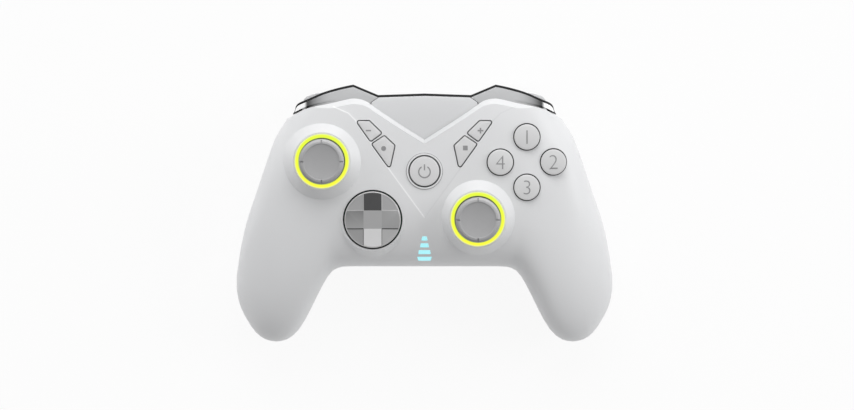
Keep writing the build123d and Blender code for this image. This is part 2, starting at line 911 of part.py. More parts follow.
# Port panel: the black wall round the charging socket, and the thin brow below the silver
with BuildPart() as port_panel:
    with BuildSketch(Plane.XY.offset(wall)):
        with Locations((0, panel_front)):
            Rectangle(2 * (panel_half_width - panel_fit), panel_thick, align=high_middle)
    extrude(amount=brow_bottom - wall)
    add(half_form(wall + panel_fit, -1, cavity_skirt), mode=Mode.INTERSECT)
    with BuildSketch(Plane.XY.offset(brow_bottom)):
        add(rim_plan(brow_proud))
        add(rim_plan(-brow_depth), mode=Mode.SUBTRACT)
        add(white_plan(play), mode=Mode.SUBTRACT)
        Rectangle(2 * (bumper_end + play), far + far, mode=Mode.INTERSECT)
    extrude(amount=brow_thick)
    for side in (-1, 1):
        with BuildSketch(Plane((side * bumper_pin_x, bumper_pin_y, brow_bottom))):
            Circle(bumper_barrel_radius)
        extrude(amount=-boss_drop)
        with BuildSketch(Plane((side * bumper_pin_x, bumper_pin_y, silver_bottom))):
            Circle(bumper_pin_radius + pin_fit)
        extrude(amount=brow_bottom - boss_drop + boss_floor - silver_bottom, mode=Mode.SUBTRACT)
    with BuildSketch(Plane(origin=(0, 0, socket_height_z), x_dir=(1, 0, 0), z_dir=(0, -1, 0))):
        SlotOverall(socket_width + 2 * socket_fit, socket_height + 2 * socket_fit)
    extrude(amount=-tall, mode=Mode.SUBTRACT)
keep(port_panel, "port_panel")

# Charging socket and its small board
with BuildPart() as usb_socket:
    socket_spot = (0, panel_front - panel_fit, socket_height_z)
    socket_face = Plane(origin=socket_spot, x_dir=(1, 0, 0), z_dir=(0, -1, 0))
    with BuildSketch(socket_face):
        SlotOverall(socket_width, socket_height)
    extrude(amount=socket_depth)
    with BuildSketch(socket_face):
        SlotOverall(socket_width - 2 * socket_wall, socket_height - 2 * socket_wall)
        Rectangle(tongue_width, tongue_thick, mode=Mode.SUBTRACT)
    extrude(amount=socket_depth - socket_wall, mode=Mode.SUBTRACT)
keep(usb_socket, "usb_socket")

with BuildPart() as usb_board:
    with BuildSketch(Plane.XY.offset(port_board_bottom)):
        with Locations((0, port_board_start)):
            Rectangle(2 * port_board_half_width, port_board_length, align=low_middle)
    extrude(amount=port_board_thick)
keep(usb_board, "usb_board")

# Main board with its screws, chips and membranes
with BuildPart() as main_board:
    with BuildSketch(Plane.XY.offset(board_bottom)) as board_plan:
        with Locations((0, board_shoulder_y)):
            Rectangle(2 * board_half_width, board_upper_edge - board_shoulder_y, align=low_middle)
        with Locations((0, board_lower_edge)):
            Rectangle(2 * board_lower_half_width, board_upper_edge - board_lower_edge, align=low_middle)
        with Locations((0, board_tongue_edge)):
            Rectangle(2 * board_tongue_half_width, board_upper_edge - board_tongue_edge, align=low_middle)
        fillet(board_plan.vertices(), radius=board_corner)
    extrude(amount=board_thick)
    with BuildSketch(Plane.XY.offset(board_bottom)):
        with Locations(*board_spots):
            Circle(board_screw_radius + pin_fit)
    extrude(amount=board_thick, mode=Mode.SUBTRACT)
keep(main_board, "main_board")

with BuildPart() as board_screws:
    for x, y in board_spots:
        with BuildSketch(Plane((x, y, board_top))):
            Circle(board_screw_head_radius)
        extrude(amount=board_screw_head_height)
        with BuildSketch(Plane((x, y, board_top))):
            Circle(board_screw_radius)
        extrude(amount=-(board_thick + board_screw_grip))
keep(board_screws, "board_screws")

with BuildPart() as board_chips:
    with BuildSketch(Plane.XY.offset(board_bottom)):
        with Locations((0, 0)):
            Rectangle(chip_size, chip_size)
        chip_out = chip_place + chip_size
        with Locations((-chip_out, chip_place), (chip_out, chip_out)):
            Rectangle(chip_small, chip_small)
    extrude(amount=-chip_height)
    with BuildSketch(Plane.XY.offset(board_top)):
        with Locations((guide_x, guide_y)):
            Rectangle(switch_size, switch_size)
    extrude(amount=switch_height)
keep(board_chips, "board_chips")

with BuildPart() as battery_pack:
    with BuildSketch(Plane.XY.offset(wall)) as battery_plan:
        with Locations((0, battery_y)):
            Rectangle(battery_width, battery_length)
        fillet(battery_plan.vertices(), radius=battery_corner)
    extrude(amount=battery_height)
keep(battery_pack, "battery_pack")

with BuildPart() as status_lights:
    for index in range(len(bar_width_shares)):
        add(bar_outline(index, 0, board_top))
    extrude(amount=tall)
    add(upper_form.moved(Location((0, 0, bar_proud))), mode=Mode.INTERSECT)
    bar_last_y = bar_first_y - (len(bar_width_shares) - 1) * bar_pitch
    with BuildSketch(Plane.XY.offset(board_top)):
        with Locations((0, (bar_first_y + bar_last_y) / 2)):
            Rectangle(bar_widest * bar_width_shares[-1][1], bar_first_y - bar_last_y + bar_height)
    extrude(amount=bar_base_thick)
keep(status_lights, "status_lights")


def membrane_dome(spots, radius, top):
    """Hollow rubber domes between the board and what presses them."""
    with BuildPart() as domes:
        for x, y in spots:
            with BuildSketch(Plane((x, y, board_top))):
                Circle(radius)
            extrude(amount=top - membrane_gap - board_top, taper=membrane_draft)
    return domes.part


with BuildPart() as face_membrane:
    with BuildSketch(Plane.XY.offset(board_top)):
        with Locations(*[(x, y) for x, y, drop in face_spots.values()]):
            Circle(face_pad_radius)
        with Locations((face_x, face_y)):
            Rectangle(face_step_x, face_step_y)
    extrude(amount=membrane_thick)
    add(membrane_dome([(x, y) for x, y, drop in face_spots.values()], face_dome_radius, face_bottom))
keep(face_membrane, "face_membrane")

dpad_leg_spots = [
    (dpad_x + dpad_leg_place * math.cos(turn), dpad_y + dpad_leg_place * math.sin(turn))
    for turn in [math.radians(angle) for angle in range(0, 360, 90)]
]
dpad_bottom = dpad_top - dpad_thick
with BuildPart() as dpad_membrane:
    with BuildSketch(Plane.XY.offset(board_top)):
        with Locations((dpad_x, dpad_y)):
            Circle(dpad_pad_radius)
            Circle(dpad_pad_hole, mode=Mode.SUBTRACT)
    extrude(amount=membrane_thick)
    add(membrane_dome(dpad_leg_spots, dpad_dome_radius, dpad_bottom - dpad_leg_length))
keep(dpad_membrane, "dpad_membrane")

menu_buttons = {
    "menu_button_minus": (menu_upper_shares, -1),
    "menu_button_dot": (menu_lower_shares, -1),
    "menu_button_plus": (menu_upper_shares, 1),
    "menu_button_square": (menu_lower_shares, 1),
}


def menu_middle(shares, side):
    """Mean of a menu button's corners."""
    count = len(shares)
    return (
        side * sum(x for x, y in shares) / count * half_width,
        sum(y for x, y in shares) / count * plate_reach,
    )


menu_spots = [menu_middle(shares, side) for shares, side in menu_buttons.values()]
with BuildPart() as menu_membrane:
    with BuildSketch(Plane.XY.offset(board_top)):
        with Locations(*menu_spots):
            Circle(menu_dome_radius + membrane_thick)
        with Locations((0, sum(y for x, y in menu_spots) / len(menu_spots))):
            Rectangle(menu_spots[2][0] - menu_spots[0][0], menu_dome_radius)
    extrude(amount=membrane_thick)
    add(membrane_dome(menu_spots, menu_dome_radius, menu_stem_bottom))
keep(menu_membrane, "menu_membrane")

# Menu buttons, whose tops follow the face
for name, (shares, side) in menu_buttons.items():
    with BuildPart() as menu_button:
        add(menu_outline(shares, side, 0, menu_flange_bottom))
        extrude(amount=tall)
        add(upper_form.moved(Location((0, 0, menu_rise))), mode=Mode.INTERSECT)
        add(menu_outline(shares, side, menu_flange, menu_flange_bottom))
        extrude(amount=menu_flange_thick)
        with BuildSketch(Plane((*menu_middle(shares, side), menu_stem_bottom))):
            Circle(menu_stem_radius)
        extrude(amount=menu_flange_bottom - menu_stem_bottom)
    keep(menu_button, name)

# Guide button and its trim ring
with BuildPart() as guide_trim_ring:
    with BuildSketch(Plane((guide_x, guide_y, crown_height + guide_ring_rise - guide_ring_thick))):
        Circle(guide_ring_outer - ring_fit)
        Circle(guide_hole_radius, mode=Mode.SUBTRACT)
    extrude(amount=guide_ring_thick)
keep(guide_trim_ring, "guide_trim_ring")

guide_flange_top = crown_height - guide_flange_drop + guide_flange_thick
with BuildPart() as guide_button:
    with BuildSketch(Plane((guide_x, guide_y, 0), x_dir=(1, 0, 0), z_dir=(0, -1, 0))):
        with BuildLine():
            crown = crown_height + guide_rise
            low = crown_height - guide_flange_drop
            stem = board_top + switch_height + guide_stem_gap
            flange = guide_radius + guide_flange
            shoulder = guide_flange_top
            edge = (guide_radius, crown - guide_dome_rise)
            Polyline((0, crown), (0, stem), (guide_stem_radius, stem), (guide_stem_radius, low))
            Polyline((guide_stem_radius, low), (flange, low), (flange, shoulder), (guide_radius, shoulder), edge)
            TangentArc((0, crown), edge, tangent=(1, 0), tangent_from_first=True)
        make_face()
    revolve(axis=Axis((guide_x, guide_y, 0), (0, 0, 1)))
keep(guide_button, "guide_button")

# Face buttons
for name, (x, y, drop) in face_spots.items():
    crown = crown_height + face_crown_rise - drop
    flange = face_radius + face_flange
    with BuildPart() as face_button:
        with BuildSketch(Plane((x, y, 0), x_dir=(1, 0, 0), z_dir=(0, -1, 0))):
            with BuildLine():
                shoulder = face_bottom + face_flange_thick
                edge = (face_radius, crown - face_dome_rise)
                Polyline((0, crown), (0, face_bottom), (flange, face_bottom), (flange, shoulder))
                Polyline((flange, shoulder), (face_radius, shoulder), edge)
                TangentArc((0, crown), edge, tangent=(1, 0), tangent_from_first=True)
            make_face()
        revolve(axis=Axis((x, y, 0), (0, 0, 1)))
    keep(face_button, f"face_button_{name}")

# Direction pad: post, pivot cross and the dished pad
with BuildPart() as dpad_post:
    post_top = dpad_pivot - dpad_post_gap - dpad_ear_reach
    with BuildSketch(Plane((dpad_x, dpad_y, board_top))):
        Circle(dpad_post_radius)
    extrude(amount=post_top - board_top)
    with BuildSketch(Plane((dpad_x, dpad_y, post_top))):
        for side in (-1, 1):
            with Locations((side * (dpad_ear_start + dpad_ear_thick / 2), 0)):
                Rectangle(dpad_ear_thick, dpad_ear_width)
    extrude(amount=dpad_pivot + dpad_ear_reach - post_top)
    with BuildSketch(Plane(origin=(dpad_x, dpad_y, dpad_pivot), x_dir=(0, 1, 0), z_dir=(1, 0, 0))):
        Circle(dpad_pin_radius + pin_fit)
    extrude(amount=dpad_post_radius, both=True, mode=Mode.SUBTRACT)
keep(dpad_post, "dpad_post")

with BuildPart() as dpad_gimbal:
    with BuildSketch(Plane(origin=(dpad_x, dpad_y, dpad_pivot), x_dir=(0, 1, 0), z_dir=(1, 0, 0))):
        Circle(dpad_pin_radius)
    extrude(amount=dpad_pin_reach, both=True)
    with BuildSketch(Plane(origin=(dpad_x, dpad_y, dpad_pivot), x_dir=(1, 0, 0), z_dir=(0, 1, 0))):
        Circle(dpad_pin_radius)
    extrude(amount=dpad_pin_reach, both=True)
    with Locations((dpad_x, dpad_y, dpad_pivot)):
        Box(dpad_hub_size, dpad_hub_size, dpad_hub_size)
keep(dpad_gimbal, "dpad_gimbal")

# Space above one sunk corner, whose facet falls towards the middle
arm = dpad_arm_width / 2
middle_top = dpad_top + dpad_arm_rise - dpad_centre_drop
with BuildPart() as corner_tool:
    with BuildSketch(Plane((dpad_x + arm, dpad_y + arm, dpad_bottom))):
        Rectangle(dpad_radius, dpad_radius, align=(Align.MIN, Align.MIN))
    extrude(amount=dpad_radius)
    corner_facet = Plane(
        origin=(dpad_x + arm, dpad_y + arm, middle_top - dpad_corner_step),
        z_dir=(-dpad_corner_rise_share, -dpad_corner_rise_share, 1),
    )
    split(bisect_by=corner_facet, keep=Keep.TOP)

with BuildPart() as dpad_disc:
    with BuildSketch(Plane((dpad_x, dpad_y, dpad_bottom))):
        Circle(dpad_radius)
    extrude(amount=dpad_thick + dpad_arm_rise)
    # arms fall from the rim to the middle, between four sunk corners
    for turn in range(0, 360, 90):
        add(corner_tool.part.rotate(Axis((dpad_x, dpad_y, 0), (0, 0, 1)), turn), mode=Mode.SUBTRACT)
        arm_plane = Plane(
            origin=(dpad_x, dpad_y, middle_top),
            x_dir=(math.cos(math.radians(turn)), math.sin(math.radians(turn)), 0),
            z_dir=(math.sin(math.radians(turn)), -math.cos(math.radians(turn)), 0),
        )
        with BuildSketch(arm_plane):
            with BuildLine():
                Polyline((0, 0), (arm, 0), (dpad_radius, dpad_centre_drop), (dpad_radius, dpad_radius))
                Polyline((dpad_radius, dpad_radius), (0, dpad_radius), (0, 0))
            make_face()
        extrude(amount=arm, both=True, mode=Mode.SUBTRACT)
    # chamfer round the rim
    rim_top = dpad_top + dpad_arm_rise
    with BuildSketch(Plane((dpad_x, dpad_y, 0), x_dir=(1, 0, 0), z_dir=(0, -1, 0))):
        with BuildLine():
            Polyline(
                (dpad_radius - 2 * dpad_edge, rim_top + dpad_edge),
                (dpad_radius + dpad_edge, rim_top + dpad_edge),
                (dpad_radius + dpad_edge, rim_top - 2 * dpad_edge),
                close=True,
            )
        make_face()
    revolve(axis=Axis((dpad_x, dpad_y, 0), (0, 0, 1)), mode=Mode.SUBTRACT)
    # legs that press the membrane, and ears on the pivot cross
    inside = dpad_thick / 2
    with BuildSketch(Plane.XY.offset(dpad_bottom + inside)):
        with Locations(*dpad_leg_spots):
            Circle(dpad_leg_radius)
    extrude(amount=-(dpad_leg_length + inside))
    with BuildSketch(Plane((dpad_x, dpad_y, dpad_bottom + inside))):
        for side in (-1, 1):
            with Locations((0, side * (dpad_ear_start + dpad_ear_thick / 2))):
                Rectangle(dpad_ear_width, dpad_ear_thick)
    extrude(amount=-(dpad_bottom + inside - dpad_pivot + dpad_ear_reach))
    with BuildSketch(Plane(origin=(dpad_x, dpad_y, dpad_pivot), x_dir=(1, 0, 0), z_dir=(0, 1, 0))):
        Circle(dpad_pin_radius + pin_fit)
    extrude(amount=dpad_post_radius, both=True, mode=Mode.SUBTRACT)
keep(dpad_disc, "dpad_disc")


def turned(centre, outline):
    """Ring or cap turned about a vertical line through centre, from an outline of (radius, height)."""
    with BuildPart() as made:
        with BuildSketch(Plane((centre[0], centre[1], 0), x_dir=(1, 0, 0), z_dir=(0, -1, 0))):
            with BuildLine():
                Polyline(*outline, close=True)
            make_face()
        revolve(axis=Axis((centre[0], centre[1], 0), (0, 0, 1)))
    return made.part


def stick(name, centre):
    """One thumb stick: frame with its two sensors, yoke, shaft, cap and light ring."""
    x, y = centre
    pivot = (x, y, pivot_height)
    along_x = Plane(origin=pivot, x_dir=(0, 1, 0), z_dir=(1, 0, 0))
    along_y = Plane(origin=pivot, x_dir=(1, 0, 0), z_dir=(0, 1, 0))
    frame_height = pivot_height + frame_rise - board_top

    with BuildPart() as stick_frame:
        with BuildSketch(Plane((x, y, board_top))):
            Rectangle(frame_size, frame_size)
        extrude(amount=frame_height)
        with BuildSketch(Plane((x, y, board_top + frame_wall))):
            Rectangle(frame_size - 2 * frame_wall, frame_size - 2 * frame_wall)
        extrude(amount=frame_height, mode=Mode.SUBTRACT)
        with BuildSketch(Plane((x, y, pivot_height - pot_width / 2))):
            with Locations((frame_size / 2 + pot_thick / 2, 0)):
                Rectangle(pot_thick, pot_width)
            with Locations((0, -frame_size / 2 - pot_thick / 2)):
                Rectangle(pot_width, pot_thick)
        extrude(amount=pot_width)
        with BuildSketch(along_x):
            Circle(yoke_pin_radius + pin_fit)
        extrude(amount=yoke_pin_reach + play, both=True, mode=Mode.SUBTRACT)
    keep(stick_frame, f"{name}_stick_frame")

    with BuildPart() as stick_yoke:
        with BuildSketch(Plane((x, y, pivot_height - yoke_half_height))):
            Rectangle(yoke_length, yoke_width)
        extrude(amount=2 * yoke_half_height)
        with BuildSketch(along_x):
            Circle(yoke_pin_radius)
        extrude(amount=yoke_pin_reach, both=True)
        with BuildSketch(Plane((x, y, pivot_height - yoke_half_height))):
            Rectangle(yoke_hole_length, yoke_hole_width)
        extrude(amount=2 * yoke_half_height, mode=Mode.SUBTRACT)
        with BuildSketch(along_y):
            Circle(cross_pin_radius + pin_fit)
        extrude(amount=yoke_width, both=True, mode=Mode.SUBTRACT)
    keep(stick_yoke, f"{name}_stick_yoke")

    with BuildPart() as stick_shaft:
        with BuildSketch(Plane((x, y, pivot_height + shaft_bottom))):
            Circle(shaft_radius)
        extrude(amount=shaft_top - shaft_bottom)
        with BuildSketch(along_y):
            Circle(cross_pin_radius)
        extrude(amount=cross_pin_reach, both=True)
    keep(stick_shaft, f"{name}_stick_shaft")

    with BuildPart() as stick_cap:
        # concave cap on its neck
        low = cap_top - cap_thick
        outline = [
            (0, cap_top - cap_dish_depth),
            (cap_dish_radius, cap_top - cap_dish_step),
            (cap_dish_radius + cap_dish_step, cap_top),
            (cap_radius - cap_edge, cap_top),
            (cap_radius, cap_top - cap_edge),
            (cap_radius, low + cap_edge),
            (cap_radius - cap_edge, low),
            (neck_radius, low),
            (neck_radius, pivot_height + neck_start),
            (0, pivot_height + neck_start),
        ]
        add(turned(centre, outline))
        # hollow dome that covers the opening at every tilt
        with BuildSketch(Plane(origin=(x, y, pivot_height), x_dir=(1, 0, 0), z_dir=(0, -1, 0))):
            with Locations((0, 0)):
                Circle(dome_radius)
                Circle(dome_radius - dome_wall, mode=Mode.SUBTRACT)
            with Locations((-far / 2, 0)):
                Rectangle(far, far, mode=Mode.SUBTRACT)
            with Locations((0, dome_skirt_drop - far / 2)):
                Rectangle(far, far, mode=Mode.SUBTRACT)
        revolve(axis=Axis((x, y, 0), (0, 0, 1)))
        # bore for the shaft, with room for the click
        with BuildSketch(Plane(pivot)):
            Circle(shaft_radius + pin_fit)
        extrude(amount=shaft_top + click_travel + click_spare, mode=Mode.SUBTRACT)
        # four fine marks across the rim
        with BuildSketch(Plane((x, y, cap_top - cap_tick_depth - cap_dish_step))):
            with PolarLocations((cap_dish_radius + cap_radius) / 2, cap_tick_count):
                Rectangle(cap_radius - cap_dish_radius - cap_tick_width, cap_tick_width)
        extrude(amount=cap_thick, mode=Mode.SUBTRACT)
    keep(stick_cap, f"{name}_stick_cap")

    ring_outline = [
        (ring_inner, ring_top - ring_edge),
        (ring_inner + ring_edge, ring_top),
        (ring_outer - ring_edge, ring_top),
        (ring_outer, ring_top - ring_edge),
        (ring_outer, ring_top - ring_thick),
        (ring_inner, ring_top - ring_thick),
    ]
    with BuildPart() as light_ring:
        add(turned(centre, ring_outline))
    keep(light_ring, f"{name}_light_ring")


for name, spot in stick_spots.items():
    stick(name, spot)


def bumper(side):
    """Bumper, its pin and its switch."""
    name = side_name(side)
    pin_spot = (side * bumper_pin_x, bumper_pin_y)
    with BuildPart() as room:
        add(under_roof)
        with BuildSketch(Plane((*pin_spot, silver_bottom))):
            Circle(bumper_barrel_radius)
        extrude(amount=tall, mode=Mode.SUBTRACT)
        with BuildSketch(Plane((side * bumper_rib_x, bumper_rib_y, silver_bottom))):
            Rectangle(bumper_rib_width, bumper_rib_thick, align=low_middle)
        extrude(amount=tall, mode=Mode.SUBTRACT)
    with BuildSketch() as bumper_plan:
        add(split_plan(side, split_gap / 2))
        with Locations((side * bumper_end / 2, 0)):
            Rectangle(bumper_end, far + far, mode=Mode.INTERSECT)
    with BuildPart() as bumper_part:
        add(silver_block(bumper_plan.sketch))
        add(room.part, mode=Mode.SUBTRACT)
        with BuildSketch(Plane((*pin_spot, silver_bottom))):
            Circle(bumper_pin_radius + pin_fit)
        extrude(amount=bumper_pin_top - silver_bottom + play, mode=Mode.SUBTRACT)
    keep(bumper_part, f"{name}_bumper")

    with BuildPart() as bumper_pin:
        pin_bottom = brow_bottom - boss_drop + boss_floor
        with BuildSketch(Plane((*pin_spot, pin_bottom))):
            Circle(bumper_pin_radius)
        extrude(amount=bumper_pin_top - pin_bottom)
    keep(bumper_pin, f"{name}_bumper_pin")

    with BuildPart() as bumper_switch:
        with BuildSketch(Plane((side * bumper_rib_x, bumper_switch_y, frame_top))):
            Rectangle(bumper_switch_width, bumper_switch_depth, align=low_middle)
        extrude(amount=bumper_switch_height)
        switch_face = Plane(
            origin=(
                side * bumper_rib_x,
                bumper_switch_y + bumper_switch_depth,
                frame_top + bumper_switch_height / 2,
            ),
            x_dir=(1, 0, 0),
            z_dir=(0, 1, 0),
        )
        with BuildSketch(switch_face):
            Circle(bumper_button_radius)
        extrude(amount=bumper_button_reach)
    keep(bumper_switch, f"{name}_bumper_switch")


for side in (-1, 1):
    bumper(side)


def trigger_point(share):
    """A point of the trigger's side view, from shares of its reach and drop."""
    return (trigger_pivot_y + share[0] * trigger_reach, trigger_pivot_z + share[1] * trigger_drop)


def trigger_plan(side, rise):
    """Plan of all that lies inside the trigger's front outline."""
    points = [(side * x, y) for x, y in plan_points(trigger_plan_shares, rise)]
    with BuildSketch() as plan:
        with BuildLine():
            Polyline(*points)
            Polyline(points[-1], (points[-1][0], 0), (points[0][0], 0), points[0])
        make_face()
    return plan.sketch


def trigger(side):
    """Trigger, its pin and its return spring."""
    name = side_name(side)
    start = side * trigger_inner
    width = trigger_outer - trigger_inner
    side_view = Plane(origin=(start, 0, 0), x_dir=(0, 1, 0), z_dir=(1, 0, 0))
    spring_middle = trigger_inner + width * spring_place_share

    with BuildPart() as pocket:
        pocket_points = [trigger_point(share) for share in trigger_pocket_shares]
        with BuildSketch(side_view.offset(side * trigger_cheek)):
            with BuildLine():
                Polyline(*pocket_points, close=True)
            make_face()
        extrude(amount=width - 2 * trigger_cheek, dir=(side, 0, 0))
        add(trigger_plan(side, -trigger_skin))
        extrude(amount=tall, both=True, mode=Mode.INTERSECT)

    with BuildPart() as trigger_part:
        outer = [trigger_point(share) for share in trigger_outer_shares]
        inner = [trigger_point(share) for share in trigger_inner_shares]
        back = [trigger_point(share) for share in trigger_back_shares]
        with BuildSketch(side_view):
            with BuildLine():
                Spline(*outer)
                Polyline(outer[-1], *inner, *back, outer[0])
            make_face()
            with Locations((trigger_pivot_y, trigger_pivot_z)):
                Circle(trigger_barrel_radius)
        extrude(amount=width, dir=(side, 0, 0))
        add(trigger_plan(side, 0.0))
        extrude(amount=tall, both=True, mode=Mode.INTERSECT)
        # rounded lower corners
        with BuildSketch(Plane(origin=(0, 0, 0), x_dir=(1, 0, 0), z_dir=(0, -1, 0))) as front_view:
            with Locations((side * (trigger_inner + width / 2), trigger_pivot_z - trigger_drop)):
                Rectangle(width, tall, align=low_middle)
            fillet(front_view.vertices().sort_by(Axis.Y)[:2], radius=trigger_corner)
        extrude(amount=far, both=True, mode=Mode.INTERSECT)
        add(pocket.part, mode=Mode.SUBTRACT)
        with BuildSketch(side_view):
            with Locations((trigger_pivot_y, trigger_pivot_z)):
                Circle(trigger_pin_radius + pin_fit)
        extrude(amount=width, dir=(side, 0, 0), mode=Mode.SUBTRACT)
        slot = 2 * (trigger_barrel_radius + play)
        with BuildSketch(Plane((side * spring_middle, trigger_pivot_y, trigger_pivot_z - slot / 2))):
            Rectangle(spring_length + 2 * spring_slot_gap, slot)
        extrude(amount=slot, mode=Mode.SUBTRACT)
    keep(trigger_part, f"{name}_trigger")

    with BuildPart() as trigger_pin:
        pin_start = (side * ear_inner, trigger_pivot_y, trigger_pivot_z)
        with BuildSketch(Plane(origin=pin_start, x_dir=(0, 1, 0), z_dir=(side, 0, 0))):
            Circle(trigger_pin_radius)
        extrude(amount=ear_outer - ear_inner)
    keep(trigger_pin, f"{name}_trigger_pin")

    with BuildPart() as trigger_spring:
        spring_start = (side * (spring_middle - spring_length / 2), trigger_pivot_y, trigger_pivot_z)
        with BuildSketch(Plane(origin=spring_start, x_dir=(0, 1, 0), z_dir=(side, 0, 0))):
            Circle(spring_radius)
            Circle(spring_hole, mode=Mode.SUBTRACT)
        extrude(amount=spring_length)
    keep(trigger_spring, f"{name}_trigger_spring")


for side in (-1, 1):
    trigger(side)

# Shoulder frame that carries the trigger pins and the bumper switches
with BuildPart() as shoulder_frame:
    with BuildSketch(Plane((0, frame_bar_y, frame_bar_bottom))):
        Rectangle(2 * ear_outer, frame_bar_thick, align=low_middle)
    extrude(amount=frame_top - frame_bar_bottom)
    for side in (-1, 1):
        with BuildSketch(Plane((side * frame_leg_inner, frame_bar_y, frame_leg_bottom))):
            Rectangle(
                frame_leg_outer - frame_leg_inner,
                frame_bar_thick,
                align=outward[side],
            )
        extrude(amount=frame_bar_bottom - frame_leg_bottom)
        with BuildSketch(Plane((side * ear_inner, frame_bar_y, frame_top - frame_flange_thick))):
            Rectangle(ear_outer - ear_inner, frame_flange_end - frame_bar_y, align=outward[side])
        extrude(amount=frame_flange_thick)
        for near_end in (ear_inner, ear_outer - frame_ear_thick):
            with BuildSketch(Plane(origin=(side * near_end, 0, 0), x_dir=(0, 1, 0), z_dir=(1, 0, 0))):
                with BuildLine():
                    Polyline(
                        (frame_bar_y, frame_top),
                        (frame_ear_end, frame_top),
                        (frame_ear_end, frame_ear_bottom + frame_ear_corner),
                        (frame_ear_end - frame_ear_corner, frame_ear_bottom),
                        (frame_bar_y, frame_ear_bottom),
                        close=True,
                    )
                make_face()
            extrude(amount=frame_ear_thick, dir=(side, 0, 0))
    with BuildSketch(Plane(origin=(0, trigger_pivot_y, trigger_pivot_z), x_dir=(0, 1, 0), z_dir=(1, 0, 0))):
        Circle(trigger_pin_radius + pin_fit)
    extrude(amount=far, both=True, mode=Mode.SUBTRACT)
keep(shoulder_frame, "shoulder_frame")


def rumble_motor(side):
    """Motor in its cradle, and the weight on its shaft."""
    name = side_name(side)
    axis_plane = Plane(origin=(side * motor_x, motor_start, motor_z), x_dir=(1, 0, 0), z_dir=(0, -1, 0))
    with BuildPart() as motor:
        with BuildSketch(axis_plane):
            Circle(motor_radius)
        extrude(amount=motor_length)
        with BuildSketch(axis_plane.offset(motor_length)):
            Circle(motor_shaft_radius)
        extrude(amount=motor_shaft_length)
    keep(motor, f"{name}_rumble_motor")
    with BuildPart() as weight:
        with BuildSketch(axis_plane.offset(motor_length + weight_gap)):
            Circle(weight_radius)
            Rectangle(2 * weight_radius, weight_radius, align=high_middle, mode=Mode.SUBTRACT)
            Circle(weight_hub_radius)
            Circle(motor_shaft_radius + pin_fit, mode=Mode.SUBTRACT)
        extrude(amount=weight_thick)
    keep(weight, f"{name}_rumble_weight")


for side in (-1, 1):
    rumble_motor(side)
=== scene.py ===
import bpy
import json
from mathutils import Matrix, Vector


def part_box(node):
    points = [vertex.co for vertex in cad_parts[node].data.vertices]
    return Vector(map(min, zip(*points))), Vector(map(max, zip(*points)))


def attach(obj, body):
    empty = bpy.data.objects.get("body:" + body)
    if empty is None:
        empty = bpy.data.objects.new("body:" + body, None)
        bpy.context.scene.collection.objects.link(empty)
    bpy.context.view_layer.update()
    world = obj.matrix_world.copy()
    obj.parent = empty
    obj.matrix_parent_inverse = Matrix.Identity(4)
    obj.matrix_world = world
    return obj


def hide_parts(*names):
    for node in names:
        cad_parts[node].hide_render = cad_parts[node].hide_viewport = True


bl_info = {
    "name": "Gamepad Builder",
    "version": (1, 0, 0),
    "blender": (4, 5, 0),
    "location": "View3D > Sidebar > Gamepad",
    "description": "Dresses the gamepad's solids with finished surfaces, marks and lights",
    "category": "Object",
}

import bpy
import json
import math
from mathutils import Vector

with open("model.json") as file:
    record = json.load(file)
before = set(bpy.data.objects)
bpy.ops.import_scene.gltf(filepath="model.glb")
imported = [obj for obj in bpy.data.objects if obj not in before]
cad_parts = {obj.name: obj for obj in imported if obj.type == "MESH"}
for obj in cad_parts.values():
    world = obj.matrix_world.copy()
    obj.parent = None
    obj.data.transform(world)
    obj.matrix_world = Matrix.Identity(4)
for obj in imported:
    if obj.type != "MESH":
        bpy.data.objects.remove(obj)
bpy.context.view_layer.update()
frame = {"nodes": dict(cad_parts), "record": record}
nodes = frame["nodes"]
record = frame["record"]
body_of_node = {
    node: body
    for body, members in record["behaviour"]["bodies"].items()
    for node in members
}
slot_of_node = {entry["node"]: entry["material_slot"] for entry in record["subparts"]}


# Shader helpers

# Faint cloud and uneven gloss of every moulded or painted finish
CLOUD_SCALE = 60.0
CLOUD_DETAIL = 3.0
GLOSS_SCALE = 4 * CLOUD_SCALE
GLOSS_SPREAD = 0.10


class Wire:
    """A shader socket that can stand in Python sums."""

    def __init__(self, paint, socket):
        self.paint = paint
        self.socket = socket

    def sum(self, operation, first, second=None):
        """One Math node."""
        return self.paint.node("ShaderNodeMath", {"operation": operation}, {0: first, 1: second})

    def __add__(self, other):
        return self.sum("ADD", self, other)

    __radd__ = __add__

    def __sub__(self, other):
        return self.sum("SUBTRACT", self, other)

    def __rsub__(self, other):
        return self.sum("SUBTRACT", other, self)

    def __mul__(self, other):
        return self.sum("MULTIPLY", self, other)

    __rmul__ = __mul__

    def __truediv__(self, other):
        return self.sum("DIVIDE", self, other)

    def __pow__(self, other):
        return self.sum("POWER", self, other)

    def __abs__(self):
        return self.sum("ABSOLUTE", self)

    def below(self, limit):
        """1 where the value is below the limit."""
        return self.sum("LESS_THAN", self, limit)

    def above(self, limit):
        """1 where the value is above the limit."""
        return self.sum("GREATER_THAN", self, limit)

    def least(self, other):
        """The smaller of two values."""
        return self.sum("MINIMUM", self, other)

    def most(self, other):
        """The larger of two values."""
        return self.sum("MAXIMUM", self, other)

    def held(self, top=1.0):
        """The value, held between 0 and the top."""
        return self.most(0.0).least(top)


